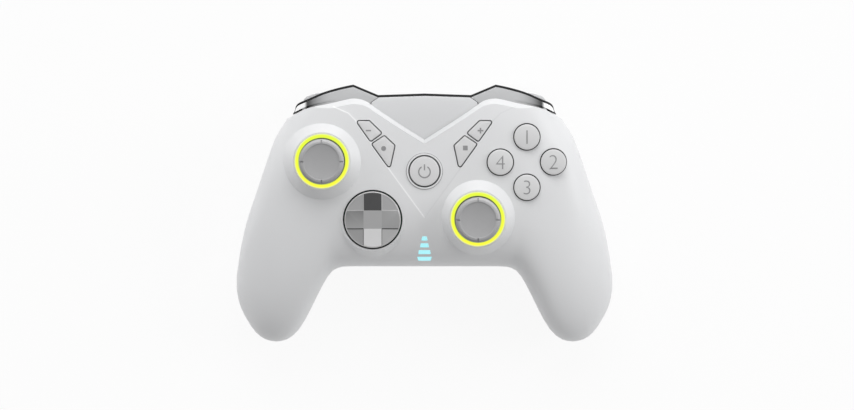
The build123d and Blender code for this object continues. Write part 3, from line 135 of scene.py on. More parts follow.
class Paint:
    """A new material with its Principled shader."""

    def __init__(self, name, colour, roughness, metallic=0.0):
        self.material = bpy.data.materials.new(name)
        self.material.use_nodes = True
        self.tree = self.material.node_tree
        self.shader = self.tree.nodes["Principled BSDF"]
        self.set("Base Color", colour)
        self.set("Roughness", roughness)
        self.set("Metallic", metallic)
        self.material.diffuse_color = (*colour, 1.0)

    def node(self, kind, settings=None, inputs=None, output=0):
        """Add one node, set it up and feed it."""
        made = self.tree.nodes.new(kind)
        for key, value in (settings or {}).items():
            setattr(made, key, value)
        for key, value in (inputs or {}).items():
            if value is not None:
                self.feed(made.inputs[key], value)
        return Wire(self, made.outputs[output])

    def feed(self, socket, value):
        """Link a wire to a socket, or set the socket to a number or colour."""
        if isinstance(value, Wire):
            self.tree.links.new(value.socket, socket)
        elif socket.type == "RGBA":
            socket.default_value = (*value[:3], 1.0)
        else:
            socket.default_value = value

    def set(self, name, value):
        """Set or link one socket of the shader."""
        self.feed(self.shader.inputs[name], value)

    def place(self):
        """Object coordinates."""
        return self.node("ShaderNodeTexCoord", output="Object")

    def axes(self):
        """X, Y and Z of the object coordinates."""
        split = self.node("ShaderNodeSeparateXYZ", None, {0: self.place()}).socket.node
        return [Wire(self, socket) for socket in split.outputs]

    def noise(self, scale, detail=2.0):
        """Noise value over the object coordinates."""
        inputs = {"Vector": self.place(), "Scale": scale, "Detail": detail}
        return self.node("ShaderNodeTexNoise", None, inputs)

    def grain(self, scale, height):
        """Fine bumps from noise."""
        inputs = {"Height": self.noise(scale), "Distance": height, "Strength": 1.0}
        self.set("Normal", self.node("ShaderNodeBump", None, inputs))

    def mix(self, mask, first, second):
        """Colour that goes from first to second with the mask."""
        return self.node("ShaderNodeMix", {"data_type": "RGBA"}, {0: mask, 6: first, 7: second}, 2)


def tone(colour, share):
    """A colour made lighter or darker."""
    return tuple(min(1.0, part * share) for part in colour)


def mottled(name, colour, roughness, metallic=0.0, spread=0.03, grain=1500.0, height=0.000012):
    """Moulded or painted surface: faint cloudy colour, uneven gloss and fine grain."""
    paint = Paint(name, colour, roughness, metallic)
    cloud = paint.noise(CLOUD_SCALE, CLOUD_DETAIL)
    paint.skin = paint.mix(cloud, tone(colour, 1.0 - spread), tone(colour, 1.0 + spread))
    paint.set("Base Color", paint.skin)
    gloss = paint.noise(GLOSS_SCALE, CLOUD_DETAIL) * GLOSS_SPREAD
    paint.set("Roughness", gloss + (roughness - GLOSS_SPREAD / 2))
    if height:
        paint.grain(grain, height)
    return paint


# Modelling helpers

# Cleaning and smoothing of a copied solid: corners that are one, in metres, and angles in degrees
MERGE_DISTANCE = 0.000002
FLAT_ANGLE = 0.2
SMOOTH_ANGLE = 35.0
SHELL_ANGLE = 28.0
EDGE_SEGMENTS = 2
ROUND_SEGMENTS = 3

# Signs: cuts that let them follow a domed button, the height they are dropped from, and their strokes
SIGN_CUTS = 4
DROP_HEIGHT = 0.1
STROKE_THINNING = 0.020
STROKE_STEPS = 6


def clear_selection():
    """Leave edit mode and select nothing."""
    if bpy.context.mode != "OBJECT":
        bpy.ops.object.mode_set(mode="OBJECT")
    bpy.ops.object.select_all(action="DESELECT")


def take(piece):
    """Select one piece only."""
    clear_selection()
    piece.select_set(True)
    bpy.context.view_layer.objects.active = piece


def settle():
    """Put the selected piece's place, turn and size in its mesh."""
    bpy.ops.object.transform_apply(location=True, rotation=True, scale=True)


def finish_piece(piece, name, material, body, angle=SMOOTH_ANGLE):
    """Name a piece, put its place in its mesh, smooth it, and let it ride."""
    take(piece)
    settle()
    bpy.ops.object.shade_smooth_by_angle(angle=math.radians(angle))
    piece.name = name
    piece.data.name = name
    piece.data.materials.clear()
    piece.data.materials.append(material)
    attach(piece, body)


def apply_bevel(piece, width, segments, angle):
    """Round the sharp edges of a piece."""
    take(piece)
    bevel = piece.modifiers.new("edge", "BEVEL")
    bevel.width = width
    bevel.segments = segments
    bevel.limit_method = "ANGLE"
    bevel.angle_limit = math.radians(angle)
    bevel.use_clamp_overlap = True
    bpy.ops.object.modifier_apply(modifier="edge")


def dress(node, material, edge=0.0, segments=EDGE_SEGMENTS, angle=SMOOTH_ANGLE):
    """A smooth, bevelled copy of a CAD node that stands for it."""
    piece = bpy.data.objects.new(node + "_skin", nodes[node].data.copy())
    bpy.context.scene.collection.objects.link(piece)
    take(piece)
    bpy.ops.object.mode_set(mode="EDIT")
    bpy.ops.mesh.select_all(action="SELECT")
    bpy.ops.mesh.customdata_custom_splitnormals_clear()
    bpy.ops.mesh.remove_doubles(threshold=MERGE_DISTANCE)
    bpy.ops.mesh.dissolve_limited(angle_limit=math.radians(FLAT_ANGLE))
    bpy.ops.mesh.select_all(action="DESELECT")
    bpy.ops.object.mode_set(mode="OBJECT")
    if edge:
        apply_bevel(piece, edge, segments, angle)
    finish_piece(piece, node + "_skin", material, body_of_node[node], angle)
    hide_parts(node)
    return piece


def thicken(thick):
    """Raise the selected faces to a closed plate, and leave edit mode."""
    bpy.ops.mesh.extrude_region_move(TRANSFORM_OT_translate={"value": (0, 0, thick)})
    bpy.ops.mesh.select_all(action="SELECT")
    bpy.ops.mesh.normals_make_consistent(inside=False)
    bpy.ops.object.mode_set(mode="OBJECT")


def keep_faces(piece, wanted):
    """Delete the other faces, and leave what is kept selected in edit mode."""
    take(piece)
    bpy.context.tool_settings.mesh_select_mode = (False, False, True)
    for face in piece.data.polygons:
        face.select = not wanted(face.center)
    bpy.ops.object.mode_set(mode="EDIT")
    bpy.ops.mesh.delete(type="FACE")
    bpy.ops.mesh.select_all(action="SELECT")


def lay_on(piece, centre, carrier, thick):
    """Middle a flat sign on a centre and lay it on the top of the piece that carries it."""
    take(piece)
    bpy.ops.object.mode_set(mode="EDIT")
    bpy.ops.mesh.select_all(action="SELECT")
    bpy.ops.mesh.subdivide(number_cuts=SIGN_CUTS)
    bpy.ops.object.mode_set(mode="OBJECT")
    xs = [v.co.x for v in piece.data.vertices]
    ys = [v.co.y for v in piece.data.vertices]
    shift = Vector((centre[0] - (min(xs) + max(xs)) / 2, centre[1] - (min(ys) + max(ys)) / 2, 0))
    for v in piece.data.vertices:
        v.co += shift
        start = Vector((v.co.x, v.co.y, DROP_HEIGHT))
        hit, place, normal, index = carrier.ray_cast(start, Vector((0, 0, -1)))
        if not hit:
            raise RuntimeError("a sign lies beside its button")
        v.co.z = place.z + (thick / 2 if v.co.z > 0 else -thick / 2)
    return piece


def written(words, centre, size, carrier, thick):
    """A number, laid on the piece that carries it."""
    clear_selection()
    bpy.ops.object.text_add(location=(0, 0, 0))
    text = bpy.context.active_object.data
    text.body = words
    text.align_x = "CENTER"
    text.align_y = "CENTER"
    text.size = size
    text.extrude = thick / 2
    text.offset = -size * STROKE_THINNING
    text.resolution_u = STROKE_STEPS
    bpy.ops.object.convert(target="MESH")
    return lay_on(bpy.context.active_object, centre, carrier, thick)


def flat_sign(corners, size, centre, carrier, thick):
    """A round or square spot, laid on the piece that carries it."""
    clear_selection()
    place = (0, 0, -thick / 2)
    bpy.ops.mesh.primitive_circle_add(vertices=corners, radius=size / 2, fill_type="TRIFAN", location=place)
    piece = bpy.context.active_object
    settle()
    bpy.ops.object.mode_set(mode="EDIT")
    bpy.ops.mesh.select_all(action="SELECT")
    turn = math.pi / corners if corners == 4 else 0.0
    bpy.ops.transform.rotate(value=turn, orient_axis="Z", center_override=(0, 0, 0))
    thicken(thick)
    return lay_on(piece, centre, carrier, thick)


def bar_sign(width, line, crossed, centre, carrier, thick):
    """A bar or a cross, laid on the piece that carries it."""
    inner_row = 0.4

    def spread(value):
        """Outer corners go to the sign's edge, and inner ones to the edge of its line."""
        return math.copysign(width / 2 if abs(value) > inner_row else line / 2, value)

    clear_selection()
    bpy.ops.mesh.primitive_grid_add(x_subdivisions=3, y_subdivisions=3, size=1.0, location=(0, 0, 0))
    piece = bpy.context.active_object
    for v in piece.data.vertices:
        v.co = (spread(v.co.x), spread(v.co.y), -thick / 2)
    keep_faces(piece, lambda middle: abs(middle.y) < line / 2 or (crossed and abs(middle.x) < line / 2))
    thicken(thick)
    return lay_on(piece, centre, carrier, thick)


def power_sign(radius, line, centre, carrier, thick):
    """A plain open ring with a bar, laid on the piece that carries it."""
    corners = 48
    gap = 2.2 * line
    bar_middle = 0.72 * radius
    bar_length = 0.95 * radius
    clear_selection()
    place = (0, 0, -thick / 2)
    bpy.ops.mesh.primitive_circle_add(vertices=corners, radius=radius, fill_type="NGON", location=place)
    ring = bpy.context.active_object
    settle()
    bpy.ops.object.mode_set(mode="EDIT")
    bpy.ops.mesh.select_all(action="SELECT")
    bpy.ops.mesh.inset(thickness=line, depth=0)
    bpy.ops.mesh.delete(type="FACE")
    bpy.ops.object.mode_set(mode="OBJECT")
    keep_faces(ring, lambda middle: middle.y < 0 or abs(middle.x) > gap)
    thicken(thick)
    bpy.ops.mesh.primitive_cube_add(size=1.0, location=(0, bar_middle, 0))
    bpy.context.active_object.scale = (line, bar_length, thick)
    settle()
    ring.select_set(True)
    bpy.context.view_layer.objects.active = ring
    bpy.ops.object.join()
    return lay_on(ring, centre, carrier, thick)


# Sizes and colours


class GamepadSizes(bpy.types.PropertyGroup):
    """Sizes that the finished surfaces add to the solids."""

    edge: bpy.props.FloatProperty(
        name="Edge",
        description="Rounding of crisp edges",
        default=0.00025,
        unit="LENGTH",
    )
    soft_edge: bpy.props.FloatProperty(
        name="Soft edge",
        description="Rounding of moulded edges",
        default=0.0005,
        unit="LENGTH",
    )
    mark_size: bpy.props.FloatProperty(
        name="Mark size",
        description="Height setting of the button numbers",
        default=0.0086,
        unit="LENGTH",
    )
    mark_depth: bpy.props.FloatProperty(
        name="Mark depth",
        description="Thickness of printed marks",
        default=0.00012,
        unit="LENGTH",
    )
    camera_distance: bpy.props.FloatProperty(
        name="Camera distance",
        description="From the camera to the face",
        default=1.794,
        unit="LENGTH",
    )
    camera_tilt: bpy.props.FloatProperty(
        name="Camera tilt",
        description="Lean of the view towards the bumpers",
        default=math.radians(2.5),
        subtype="ANGLE",
    )


class GamepadColours(bpy.types.PropertyGroup):
    """Colours of the finished surfaces."""

    white: bpy.props.FloatVectorProperty(
        name="White",
        description="Moulded shells and triggers",
        size=3,
        default=(0.77, 0.775, 0.785),
        subtype="COLOR",
    )
    silver: bpy.props.FloatVectorProperty(
        name="Silver",
        description="Front plate and bumpers",
        size=3,
        default=(0.67, 0.675, 0.685),
        subtype="COLOR",
    )
    black: bpy.props.FloatVectorProperty(
        name="Black",
        description="Gloss black panel",
        size=3,
        default=(0.012, 0.012, 0.013),
        subtype="COLOR",
    )
    matte_black: bpy.props.FloatVectorProperty(
        name="Matte black",
        description="Inner frame, switches and chips",
        size=3,
        default=(0.025, 0.025, 0.027),
        subtype="COLOR",
    )
    button: bpy.props.FloatVectorProperty(
        name="Button",
        description="White buttons",
        size=3,
        default=(0.72, 0.72, 0.725),
        subtype="COLOR",
    )
    rubber: bpy.props.FloatVectorProperty(
        name="Rubber",
        description="Rims of the stick caps",
        size=3,
        default=(0.52, 0.52, 0.525),
        subtype="COLOR",
    )
    dish: bpy.props.FloatVectorProperty(
        name="Dish",
        description="Hollows of the stick caps",
        size=3,
        default=(0.33, 0.33, 0.335),
        subtype="COLOR",
    )
    ring: bpy.props.FloatVectorProperty(
        name="Ring light",
        description="Lit rings",
        size=3,
        default=(0.79, 1.0, 0.045),
        subtype="COLOR",
    )
    bars: bpy.props.FloatVectorProperty(
        name="Bar light",
        description="Lit status bars",
        size=3,
        default=(0.40, 0.88, 0.94),
        subtype="COLOR",
    )
    mark: bpy.props.FloatVectorProperty(
        name="Marks",
        description="Printed marks",
        size=3,
        default=(0.30, 0.30, 0.305),
        subtype="COLOR",
    )


def sizes():
    """The size settings."""
    return bpy.context.scene.gamepad_sizes


def chosen(name):
    """A colour setting, as plain numbers."""
    return tuple(getattr(bpy.context.scene.gamepad_colours, name))


# Finishes

# Holes in the face and the joints round what sits in them, in metres, as in the solids
FACE_LEVEL = 0.03
FACE_HOLE = 0.0055
RING_BORE = 0.00956
GUIDE_HOLE = 0.00752
GUIDE_BORE = 0.00650
PAD_HOLE = 0.01205
JOINT_PROUD = 0.00014
JOINT_SOFT = 0.00006
SEAT_SOFT = 0.0001
BUTTON_SIDE = 0.0013
MENU_GAP = 0.0003
MENU_CORNER = 0.0006
MENU_UPPER = [(0.0278, 0.0384), (0.0226, 0.0384), (0.01755, 0.0335), (0.0220, 0.0302)]
MENU_LOWER = [(0.0164, 0.0323), (0.01225, 0.0284), (0.01427, 0.0191), (0.0214, 0.0290)]
# Painted shade: black in the joints round the buttons, grey in the seat of the guide ring and in the stick
# bores
JOINT_SHADE = (0.02, 0.02, 0.021)
GUIDE_SEAT_SHADE = (0.32, 0.32, 0.325)
STICK_SEAT_SHADE = (0.38, 0.38, 0.385)

# Fine crease from the front edge to the middle: a painted highlight along it on the left of the face, a faint
# painted shade on the right
CREASE = [(0.0, -0.0011), (0.0145, 0.0187), (0.0282, 0.0386), (0.0311, 0.0416), (0.0373, 0.0443)]
CREASE_HALF = 0.00022
CREASE_SOFT = 0.00030
CREASE_HIGHLIGHT = (0.96, 0.96, 0.965)
CREASE_SHADE = (0.50, 0.50, 0.51)
CREASE_HIGHLIGHT_SHARE = 0.8
CREASE_SHADE_SHARE = 0.15

# Shade along the point of the plate
VALLEY = [(0.0, 0.0312), (0.022, 0.0450)]
VALLEY_HALF = 0.0021
VALLEY_SOFT = 0.0002
VALLEY_REACH = 0.020
VALLEY_GREY = (0.55, 0.555, 0.56)
VALLEY_SHARE = 0.35

# Painted dark reflection at the turn and painted highlight on the outer end of the bumpers, by their distance
# from the middle
DARK_REFLECTION_START = 0.037
DARK_REFLECTION_LENGTH = 0.0105
END_HIGHLIGHT_START = 0.0483
END_HIGHLIGHT_LENGTH = 0.0011

# Stick caps, with a painted glow of the ring on their edge, and their lit rings
DISH_RADIUS = 0.0073
DISH_SOFT = 0.0008
CAP_GLOW_WIDTH = 0.0007
RING_OUTER = 0.0106
RING_OUTER_SOFT = 0.0006
RING_INNER = 0.0099
RING_INNER_SOFT = 0.0004
RING_WIDTH = 0.022

# Direction pad: its arms, lines and rim, and the painted reflection and shade of each facet and line
PAD_RADIUS = 0.0116
PAD_ARM = 0.0075
PAD_ROW_LINE = 0.00019
PAD_COLUMN_LINE = 0.00014
PAD_LINE_SOFT = 0.00010
PAD_CHAMFER = 0.00045
PAD_SIDE = 0.00008
PAD_LIGHT_AND_SHADE = {
    "metal": (0.36, 0.36, 0.365),
    "middle": (0.49, 0.49, 0.493),
    "top": (0.095, 0.095, 0.097),
    "bottom": (0.84, 0.84, 0.845),
    "left_low": (0.45, 0.45, 0.453),
    "left_high": (0.27, 0.27, 0.272),
    "right": (0.43, 0.43, 0.433),
    "upper_corners": (0.47, 0.47, 0.473),
    "lower_left": (0.43, 0.43, 0.433),
    "lower_right": (0.56, 0.56, 0.563),
    "row_highlight": (0.85, 0.85, 0.85),
    "row_shade": (0.03, 0.03, 0.031),
    "column_highlight": (0.75, 0.75, 0.75),
    "column_shade": (0.05, 0.05, 0.051),
    "chamfer": (0.62, 0.62, 0.623),
    "side": (0.03, 0.03, 0.031),
}

made_finishes = {}


def middle_of(node):
    """Middle of a CAD node's box."""
    low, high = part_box(node)
    return (low + high) / 2


def finish(name):
    """A finish by name, made once."""
    if name not in made_finishes:
        made_finishes[name] = FINISHES[name]().material
    return made_finishes[name]


def from_line(x, y, centre):
    """Distance from a vertical line through a centre, in metres."""
    across, along = x - centre[0], y - centre[1]
    return (across * across + along * along) ** 0.5


def from_path(x, y, points):
    """Distance from a path of straight lines."""
    nearest = None
    for (x0, y0), (x1, y1) in zip(points, points[1:]):
        run_x, run_y = x1 - x0, y1 - y0
        along = ((x - x0) * run_x + (y - y0) * run_y) / (run_x * run_x + run_y * run_y)
        share = along.held()
        away = from_line(x - share * run_x, y - share * run_y, (x0, y0))
        nearest = away if nearest is None else nearest.least(away)
    return nearest


def within(distance, limit, soft):
    """1 where a distance is below its limit, with a soft edge."""
    return ((limit - distance) / soft + 0.5).held()


def drawn_in(corners, inset):
    """Corners of an outline whose straight edges move inwards."""
    moved = []
    count = len(corners)
    for i in range(count):
        before, here, after = (Vector(corners[(i + k) % count]) for k in (-1, 0, 1))
        first, second = (here - before).normalized(), (after - here).normalized()
        inwards = Vector((-first.y, first.x)) + Vector((-second.y, second.x))
        inwards.normalize()
        reach = inset / (inwards.x * -first.y + inwards.y * first.x)
        moved.append(tuple(here + inwards * reach))
    return moved


def face_joints(x, y):
    """Distance from the nearest hole edge of a face button, the pad or a menu button."""
    group = Vector((middle_of("face_button_top").x, middle_of("face_button_left").y))
    step = Vector((middle_of("face_button_right").x, middle_of("face_button_top").y)) - group
    across, along = abs(x - group.x), abs(y - group.y)
    joint = from_line(across, along, (step.x, 0)).least(from_line(across, along, (0, step.y))) - FACE_HOLE
    joint = joint.least(from_line(x, y, middle_of("dpad_disc")) - PAD_HOLE)
    for corners in (MENU_UPPER, MENU_LOWER):
        inner = drawn_in(corners, MENU_CORNER)
        joint = joint.least(from_path(abs(x), y, inner + inner[:1]) - (MENU_CORNER + MENU_GAP))
    return joint


def white_plastic(name="white_plastic"):
    """Fine matte white moulding."""
    return mottled(name, chosen("white"), roughness=0.42, spread=0.012, grain=2200.0, height=0.000010)


def face_plastic():
    """White moulding of the face, with painted shade in the joints round the buttons and in the seats of the
    guide ring and the sticks, a painted highlight and faint painted shade along the fine crease, and painted
    shade along the point of the plate.
    """
    paint = white_plastic("face_plastic")
    x, y, z = paint.axes()
    # Painted shade: black in the joints round the face buttons, the pad and the menu buttons
    joint = within(face_joints(x, y), JOINT_PROUD, JOINT_SOFT) * z.above(FACE_LEVEL)
    # Painted highlight along the crease on the left, faint painted shade along it on the right
    crease_light = within(from_path(abs(x), y, CREASE), CREASE_HALF, CREASE_SOFT)
    # Painted shade: grey in the seat round the guide ring and in the bores of the stick rings
    guide = within(from_line(x, y, middle_of("guide_trim_ring")), GUIDE_HOLE, SEAT_SOFT)
    left, right = (from_line(x, y, middle_of(f"{side}_light_ring")) for side in ("left", "right"))
    sticks = within(left.least(right), RING_BORE, SEAT_SOFT)
    valley = within(from_path(abs(x), y, VALLEY), VALLEY_HALF, VALLEY_SOFT)
    valley = valley * (1.0 - abs(x) / VALLEY_REACH).most(0.0)
    skin = paint.mix(crease_light * x.below(0.0) * CREASE_HIGHLIGHT_SHARE, paint.skin, CREASE_HIGHLIGHT)
    skin = paint.mix(crease_light * x.above(0.0) * CREASE_SHADE_SHARE, skin, CREASE_SHADE)
    skin = paint.mix(guide, skin, GUIDE_SEAT_SHADE)
    skin = paint.mix(sticks, skin, STICK_SEAT_SHADE)
    skin = paint.mix(joint, skin, JOINT_SHADE)
    paint.set("Base Color", paint.mix(valley * VALLEY_SHARE, skin, VALLEY_GREY))
    return paint


def trim_plastic():
    """White ring round the guide button, with painted shade in the joint inside it."""
    paint = mottled("trim_plastic", chosen("white"), roughness=0.35, spread=0.012, height=0)
    x, y, z = paint.axes()
    # Painted shade in the joint inside the ring
    inner = within(from_line(x, y, middle_of("guide_trim_ring")), GUIDE_BORE + JOINT_PROUD, JOINT_SOFT)
    paint.set("Base Color", paint.mix(inner, paint.skin, JOINT_SHADE))
    return paint


def silver_paint(name, colour, roughness):
    """Satin silver paint."""
    return mottled(name, colour, roughness, metallic=0.1, spread=0.02, grain=3500.0, height=0.000008)


def plate_silver():
    """Silver of the middle plate."""
    return silver_paint("plate_silver", chosen("silver"), roughness=0.62)


def bumper_silver():
    """Silver of the bumpers, with a painted dark reflection at the turn and a painted highlight on the outer
    end.
    """
    paint = silver_paint("bumper_silver", tone(chosen("silver"), 0.72), roughness=0.6)
    x, y, z = paint.axes()
    # Painted dark reflection where the bumper turns, and painted highlight on its outer end
    turn = ((abs(x) - DARK_REFLECTION_START) / DARK_REFLECTION_LENGTH).held()
    end = ((abs(x) - END_HIGHLIGHT_START) / END_HIGHLIGHT_LENGTH).held()
    skin = paint.mix(turn * turn, paint.skin, (0.05, 0.05, 0.051))
    paint.set("Base Color", paint.mix(end, skin, (0.95, 0.95, 0.95)))
    return paint


def black_gloss():
    """Polished black plastic."""
    paint = mottled("black_gloss", chosen("black"), roughness=0.12, spread=0.1, height=0)
    paint.set("Coat Weight", 0.5)
    return paint


def black_matte():
    """Fine grained black plastic."""
    colour = chosen("matte_black")
    return mottled("black_matte", colour, roughness=0.5, spread=0.1, grain=1800.0, height=0.00002)


def button_plastic(place=None):
    """Smooth white button caps; a face button has painted shade on its side where it sits in its hole."""
    name = f"{place}_button_plastic" if place else "button_plastic"
    paint = mottled(name, chosen("button"), roughness=0.25, spread=0.012, grain=3000.0, height=0.000003)
    if place:
        x, y, z = paint.axes()
        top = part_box(f"face_button_{place}")[1].z
        # Painted shade on the button's side below its top, where it sits in its hole
        paint.set("Base Color", paint.mix(z.below(top - BUTTON_SIDE), paint.skin, JOINT_SHADE))
    return paint


def stick_rubber(side="left"):
    """Grey rubber: a pale rim and a darker hollow, both finely grained, with painted light and shade across
    them and a painted glow of the ring on the cap's edge.
    """
    rubber, hollow = chosen("rubber"), chosen("dish")
    centre = middle_of(f"{side}_light_ring")
    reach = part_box(f"{side}_stick_cap")[1].x - centre.x
    paint = Paint(f"{side}_stick_rubber", rubber, roughness=0.55)
    x, y, z = paint.axes()
    across, along, radius = x - centre.x, y - centre.y, from_line(x, y, centre)
    # Painted light and shade: the rim lighter towards the top and darker towards the bottom, the hollow the
    # other way round, and a painted glow of the ring on the cap's edge
    light_share = ((along + across * 0.4) / (2 * reach) + 0.5).held()
    rim = paint.mix(light_share, tone(rubber, 0.58), tone(rubber, 1.04))
    ring_glow = ((radius - reach + CAP_GLOW_WIDTH) / CAP_GLOW_WIDTH).held(top=0.9)
    rim = paint.mix(ring_glow, rim, tone(chosen("ring"), 0.45))
    dish = paint.mix(light_share, tone(hollow, 1.28), tone(hollow, 1.16))
    shade = paint.mix(within(radius, DISH_RADIUS, DISH_SOFT), rim, dish)
    cloud = paint.noise(500.0, 3.0)
    paint.set("Base Color", paint.mix(cloud * 0.12, shade, tone(hollow, 0.7)))
    paint.set("Roughness", cloud * 0.12 + 0.5)
    paint.grain(2600.0, 0.00002)
    return paint


def ring_light(side="left"):
    """Lit ring, greener at the top and yellower at the bottom."""
    colour = chosen("ring")
    centre = middle_of(f"{side}_light_ring")
    paint = Paint(f"{side}_ring_light", tone(colour, 0.05), roughness=0.4)
    x, y, z = paint.axes()
    radius = from_line(x, y, centre)
    outer = ((radius - RING_OUTER) / RING_OUTER_SOFT).held()
    inner = ((RING_INNER - radius) / RING_INNER_SOFT).held()
    low_share = ((centre.y - y) / RING_WIDTH + 0.5).held()
    lit = paint.mix(low_share, colour, (0.98, 0.98, 0.05))
    lit = paint.mix(outer, lit, (0.80, 0.82, 0.42))
    lit = paint.mix(inner, lit, (0.55, 0.68, 0.10))
    paint.set("Emission Color", lit)
    paint.set("Emission Strength", 1.0)
    return paint


def bar_light():
    """Lit status bars."""
    colour = chosen("bars")
    paint = Paint("bar_light", colour, roughness=0.3)
    glow = paint.noise(300.0, 1.0)
    paint.set("Base Color", tone(colour, 0.1))
    paint.set("Emission Color", paint.mix(glow, tone(colour, 0.92), colour))
    paint.set("Emission Strength", 1.0)
    return paint


def pad_metal():
    """Dished metal pad with painted reflections and shade: each facet in the tone of what it mirrors, and
    painted highlights and shade along its steps and rim.
    """
    light_and_shade = PAD_LIGHT_AND_SHADE
    centre = middle_of("dpad_disc")
    paint = Paint("pad_metal", light_and_shade["metal"], roughness=0.3, metallic=0.35)
    x, y, z = paint.axes()
    across, along = x - centre.x, y - centre.y
    half = PAD_ARM / 2
    in_column, in_row = abs(across).below(half), abs(along).below(half)
    upper, lower, right = along.above(0.0), along.below(0.0), across.above(0.0)
    # facets, each painted in the tone of the reflection and shade it shows
    left_arm = paint.mix((along / PAD_ARM + 0.5).held(), light_and_shade["left_low"], light_and_shade["left_high"])
    arms = paint.mix(right, left_arm, light_and_shade["right"])
    corners = paint.mix(right, light_and_shade["lower_left"], light_and_shade["lower_right"])
    corners = paint.mix(upper, corners, light_and_shade["upper_corners"])
    tint = paint.mix(in_column, paint.mix(in_row, corners, arms), light_and_shade["middle"])
    tint = paint.mix(in_column * along.above(half), tint, light_and_shade["top"])
    tint = paint.mix(in_column * along.below(-half), tint, light_and_shade["bottom"])
    # painted highlight along the upper steps and painted shade along the lower steps between the facets
    row_line = (1.0 - in_column) * within(abs(abs(along) - half), PAD_ROW_LINE, PAD_LINE_SOFT)
    column_line = (1.0 - in_row) * within(abs(abs(across) - half), PAD_COLUMN_LINE, PAD_LINE_SOFT)
    tint = paint.mix(row_line * upper * 0.3, tint, light_and_shade["row_highlight"])
    tint = paint.mix(row_line * lower, tint, light_and_shade["row_shade"])
    tint = paint.mix(column_line * upper * 0.7, tint, light_and_shade["column_highlight"])
    tint = paint.mix(column_line * lower * 0.7, tint, light_and_shade["column_shade"])
    # painted highlight on the chamfer and painted shade on the side
    radius = from_line(across, along, (0, 0))
    tint = paint.mix(1.0 - within(radius, PAD_RADIUS - PAD_CHAMFER, SEAT_SOFT), tint, light_and_shade["chamfer"])
    tint = paint.mix(1.0 - within(radius, PAD_RADIUS - PAD_SIDE, JOINT_SOFT), tint, light_and_shade["side"])
    paint.set("Base Color", tint)
    paint.set("Roughness", paint.noise(700.0) * 0.08 + 0.27)
    paint.grain(3200.0, 0.000003)
    return paint


def steel():
    """Plain machined steel."""
    colour = (0.55, 0.55, 0.56)
    return mottled("steel", colour, roughness=0.32, metallic=1.0, spread=0.06, grain=900.0, height=0.00001)


def dark_screw():
    """Blackened screw steel."""
    colour = (0.05, 0.05, 0.055)
    return mottled("dark_screw", colour, roughness=0.4, metallic=0.8, spread=0.15, height=0.00001)


def board_green():
    """Circuit board lacquer."""
    return mottled("board_green", (0.02, 0.10, 0.05), roughness=0.35, spread=0.2, grain=800.0, height=0.00002)


def membrane_rubber():
    """Grey rubber of the membranes."""
    return mottled("membrane_rubber", (0.30, 0.31, 0.32), roughness=0.6, spread=0.06)


def battery_wrap():
    """Wrapped cell."""
    return mottled("battery_wrap", (0.06, 0.08, 0.14), roughness=0.45, spread=0.1)


def printed_mark():
    """Grey printed marks."""
    return mottled("printed_mark", chosen("mark"), roughness=0.4, height=0)


FINISHES = {
    "white_shell": white_plastic,
    "face_white": face_plastic,
    "trim_white": trim_plastic,
    "silver_trim": plate_silver,
    "bumper_silver": bumper_silver,
    "black_gloss": black_gloss,
    "black_matte": black_matte,
    "white_button": button_plastic,
    "left_stick_rubber": stick_rubber,
    "right_stick_rubber": lambda: stick_rubber("right"),
    "left_ring_light": ring_light,
    "right_ring_light": lambda: ring_light("right"),
    "bar_light": bar_light,
    "steel": steel,
    "dpad_metal": pad_metal,
    "screw_steel": dark_screw,
    "board_green": board_green,
    "chip_black": black_matte,
    "membrane_rubber": membrane_rubber,
    "battery_wrap": battery_wrap,
    "mark": printed_mark,
}


# Operators

# Rounded edges of single pieces
SCREW_EDGE = 0.00012
SOCKET_EDGE = 0.00008
CAP_ROUNDING = 0.0003
PAD_EDGE = 0.00015
FACE_BUTTON_EDGE = 0.00012
GUIDE_EDGE = 0.0002
TRIM_EDGE = 0.0001
MENU_EDGE = 0.00015

# Signs of the centre buttons: their sizes and middles
POWER_RADIUS = 0.0026
POWER_LINE = 0.0005
MINUS_WIDTH = 0.0021
MINUS_LINE = 0.00055
PLUS_WIDTH = 0.0023
PLUS_LINE = 0.00060
DOT_WIDTH = 0.0020
DOT_CORNERS = 32
SQUARE_DIAGONAL = 0.0027
SQUARE_CORNERS = 4
SIGN_MIDDLES = {
    "minus": (-0.0229, 0.0345),
    "plus": (0.0229, 0.0345),
    "dot": (-0.0167, 0.0272),
    "square": (0.0167, 0.0274),
}

# Floor, and lamps with their place, size and energy
FLOOR_SIZE = 6.0
FLOOR_DROP = 0.0002
FLOOR_COLOUR = (0.93, 0.93, 0.93)
FLOOR_GLOW = 0.9
WORLD_STRENGTH = 0.42
LAMP_AIM = Vector((0, 0, 0.03))
LAMPS = (
    ("key", (0.0, 1.6, 1.1), 1.6, 20.0),
    ("left_fill", (-1.6, 1.3, 0.5), 0.9, 8.5),
    ("right_fill", (1.5, 0.4, 0.8), 0.9, 10.0),
    ("low_fill", (0.0, -1.5, 0.9), 0.9, 0.8),
)

# Camera
CAMERA_AIM = Vector((0.00103, 0.0037, 0.032))
SENSOR_WIDTH = 36
LENS = 184


class GAMEPAD_OT_insides(bpy.types.Operator):
    """Finishes for the parts inside"""

    bl_idname = "gamepad.insides"
    bl_label = "Insides"

    def execute(self, context):
        for node, piece in nodes.items():
            slot = slot_of_node[node]
            if slot in ("stick_rubber", "ring_light"):
                slot = node.split("_")[0] + "_" + slot
            piece.data.materials.clear()
            piece.data.materials.append(finish(slot))
        return {"FINISHED"}


class GAMEPAD_OT_shells(bpy.types.Operator):
    """Front and rear shells with their screws"""

    bl_idname = "gamepad.shells"
    bl_label = "Shells"

    def execute(self, context):
        dress("front_shell", finish("face_white"), angle=SHELL_ANGLE)
        dress("rear_shell", finish("white_shell"), angle=SHELL_ANGLE)
        dress("shell_screws", finish("screw_steel"), SCREW_EDGE)
        return {"FINISHED"}


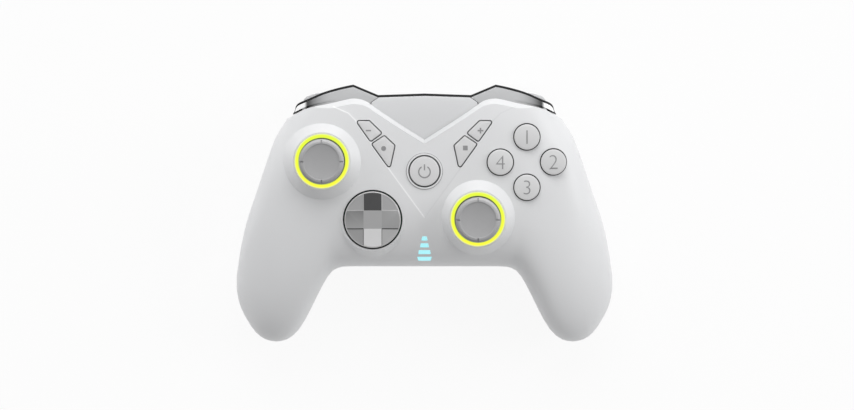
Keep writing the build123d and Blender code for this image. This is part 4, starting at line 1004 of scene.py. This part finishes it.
class GAMEPAD_OT_front_edge(bpy.types.Operator):
    """Silver plate, bumpers, port panel, socket and triggers"""

    bl_idname = "gamepad.front_edge"
    bl_label = "Front edge"

    def execute(self, context):
        dress("top_plate", finish("silver_trim"), sizes().edge)
        dress("port_panel", finish("black_gloss"), sizes().edge)
        dress("usb_socket", finish("steel"), SOCKET_EDGE)
        for side in ("left", "right"):
            dress(f"{side}_bumper", finish("bumper_silver"), sizes().edge)
            dress(f"{side}_trigger", finish("white_shell"), sizes().soft_edge, ROUND_SEGMENTS)
        return {"FINISHED"}


class GAMEPAD_OT_sticks(bpy.types.Operator):
    """Stick caps and their lit rings"""

    bl_idname = "gamepad.sticks"
    bl_label = "Sticks"

    def execute(self, context):
        for side in ("left", "right"):
            dress(f"{side}_stick_cap", finish(f"{side}_stick_rubber"), CAP_ROUNDING, ROUND_SEGMENTS)
            dress(f"{side}_light_ring", finish(f"{side}_ring_light"))
        return {"FINISHED"}


class GAMEPAD_OT_direction_pad(bpy.types.Operator):
    """Faceted direction pad"""

    bl_idname = "gamepad.direction_pad"
    bl_label = "Direction pad"

    def execute(self, context):
        dress("dpad_disc", finish("dpad_metal"), PAD_EDGE)
        return {"FINISHED"}


class GAMEPAD_OT_face_buttons(bpy.types.Operator):
    """Face buttons with plain numbers"""

    bl_idname = "gamepad.face_buttons"
    bl_label = "Face buttons"

    def execute(self, context):
        for number, place in enumerate(("top", "right", "bottom", "left"), start=1):
            node = f"face_button_{place}"
            button = dress(node, button_plastic(place).material, FACE_BUTTON_EDGE)
            mark = written(str(number), middle_of(node), sizes().mark_size, button, sizes().mark_depth)
            finish_piece(mark, f"number_{number}", finish("mark"), body_of_node[node])
        return {"FINISHED"}


class GAMEPAD_OT_centre_buttons(bpy.types.Operator):
    """Guide button, menu buttons and status bars"""

    bl_idname = "gamepad.centre_buttons"
    bl_label = "Centre buttons"

    def execute(self, context):
        thick = sizes().mark_depth
        guide = dress("guide_button", finish("white_button"), GUIDE_EDGE, ROUND_SEGMENTS)
        sign = power_sign(POWER_RADIUS, POWER_LINE, middle_of("guide_button"), guide, thick)
        finish_piece(sign, "guide_sign", finish("mark"), body_of_node["guide_button"])
        dress("guide_trim_ring", finish("trim_white"), TRIM_EDGE)
        dress("status_lights", finish("bar_light"))
        laid = {}
        for name, middle in SIGN_MIDDLES.items():
            laid[name] = (middle, dress(f"menu_button_{name}", finish("white_button"), MENU_EDGE), thick)
        signs = {
            "minus": bar_sign(MINUS_WIDTH, MINUS_LINE, False, *laid["minus"]),
            "plus": bar_sign(PLUS_WIDTH, PLUS_LINE, True, *laid["plus"]),
            "dot": flat_sign(DOT_CORNERS, DOT_WIDTH, *laid["dot"]),
            "square": flat_sign(SQUARE_CORNERS, SQUARE_DIAGONAL, *laid["square"]),
        }
        for name, sign in signs.items():
            body = body_of_node[f"menu_button_{name}"]
            finish_piece(sign, f"{name}_sign", finish("mark"), body)
        return {"FINISHED"}


class GAMEPAD_OT_stage(bpy.types.Operator):
    """Pale floor, soft lights and the camera"""

    bl_idname = "gamepad.stage"
    bl_label = "Stage"

    def execute(self, context):
        scene = bpy.context.scene
        clear_selection()
        bpy.ops.mesh.primitive_plane_add(size=FLOOR_SIZE, location=(0, 0, -FLOOR_DROP))
        floor = bpy.context.active_object
        floor.name = "floor"
        paint = Paint("floor_white", FLOOR_COLOUR, roughness=0.9)
        ray = paint.node("ShaderNodeLightPath", output="Is Camera Ray")
        ray = ray.most(paint.node("ShaderNodeLightPath", output="Is Glossy Ray"))
        glow = paint.node("ShaderNodeEmission", None, {"Color": (1, 1, 1), "Strength": 1.0})
        lit = Wire(paint, paint.shader.outputs[0])
        blend = paint.node("ShaderNodeMixShader", None, {0: ray * FLOOR_GLOW, 1: lit, 2: glow})
        paint.feed(paint.tree.nodes["Material Output"].inputs["Surface"], blend)
        floor.data.materials.append(paint.material)
        scene.world = bpy.data.worlds.new("studio")
        scene.world.use_nodes = True
        background = scene.world.node_tree.nodes["Background"]
        background.inputs["Color"].default_value = (1, 1, 1, 1)
        background.inputs["Strength"].default_value = WORLD_STRENGTH
        for name, place, size, energy in LAMPS:
            lamp = bpy.data.lights.new(name, "AREA")
            lamp.size = size
            lamp.energy = energy
            holder = bpy.data.objects.new(name, lamp)
            scene.collection.objects.link(holder)
            holder.location = place
            holder.rotation_euler = (LAMP_AIM - Vector(place)).to_track_quat("-Z", "Y").to_euler()
        camera_data = bpy.data.cameras.new("camera")
        camera_data.sensor_width = SENSOR_WIDTH
        camera_data.lens = LENS
        camera = bpy.data.objects.new("camera", camera_data)
        scene.collection.objects.link(camera)
        tilt = sizes().camera_tilt
        backwards = Vector((0, math.sin(tilt), math.cos(tilt)))
        camera.location = CAMERA_AIM + sizes().camera_distance * backwards
        camera.rotation_euler = (-tilt, 0, 0)
        bpy.context.scene.camera = camera
        bpy.context.scene.view_settings.view_transform = "Standard"
        return {"FINISHED"}


class GAMEPAD_PT_panel(bpy.types.Panel):
    """Buttons for each group of pieces"""

    bl_idname = "GAMEPAD_PT_panel"
    bl_label = "Gamepad"
    bl_space_type = "VIEW_3D"
    bl_region_type = "UI"
    bl_category = "Gamepad"

    def draw(self, context):
        layout = self.layout
        for group in (context.scene.gamepad_sizes, context.scene.gamepad_colours):
            for key in group.__annotations__:
                layout.prop(group, key)
        for step in STEPS:
            layout.operator(step.bl_idname)


STEPS = (
    GAMEPAD_OT_insides,
    GAMEPAD_OT_shells,
    GAMEPAD_OT_front_edge,
    GAMEPAD_OT_sticks,
    GAMEPAD_OT_direction_pad,
    GAMEPAD_OT_face_buttons,
    GAMEPAD_OT_centre_buttons,
    GAMEPAD_OT_stage,
)
CLASSES = (GamepadSizes, GamepadColours, *STEPS, GAMEPAD_PT_panel)


def register():
    """Register the settings, operators and panel."""
    for made in CLASSES:
        bpy.utils.register_class(made)
    bpy.types.Scene.gamepad_sizes = bpy.props.PointerProperty(type=GamepadSizes)
    bpy.types.Scene.gamepad_colours = bpy.props.PointerProperty(type=GamepadColours)


def unregister():
    """Remove the settings, operators and panel."""
    del bpy.types.Scene.gamepad_colours
    del bpy.types.Scene.gamepad_sizes
    for made in reversed(CLASSES):
        bpy.utils.unregister_class(made)


def main():
    """Build everything in order."""
    register()
    bpy.ops.gamepad.insides()
    bpy.ops.gamepad.shells()
    bpy.ops.gamepad.front_edge()
    bpy.ops.gamepad.sticks()
    bpy.ops.gamepad.direction_pad()
    bpy.ops.gamepad.face_buttons()
    bpy.ops.gamepad.centre_buttons()
    bpy.ops.gamepad.stage()


if __name__ == "__main__":
    main()
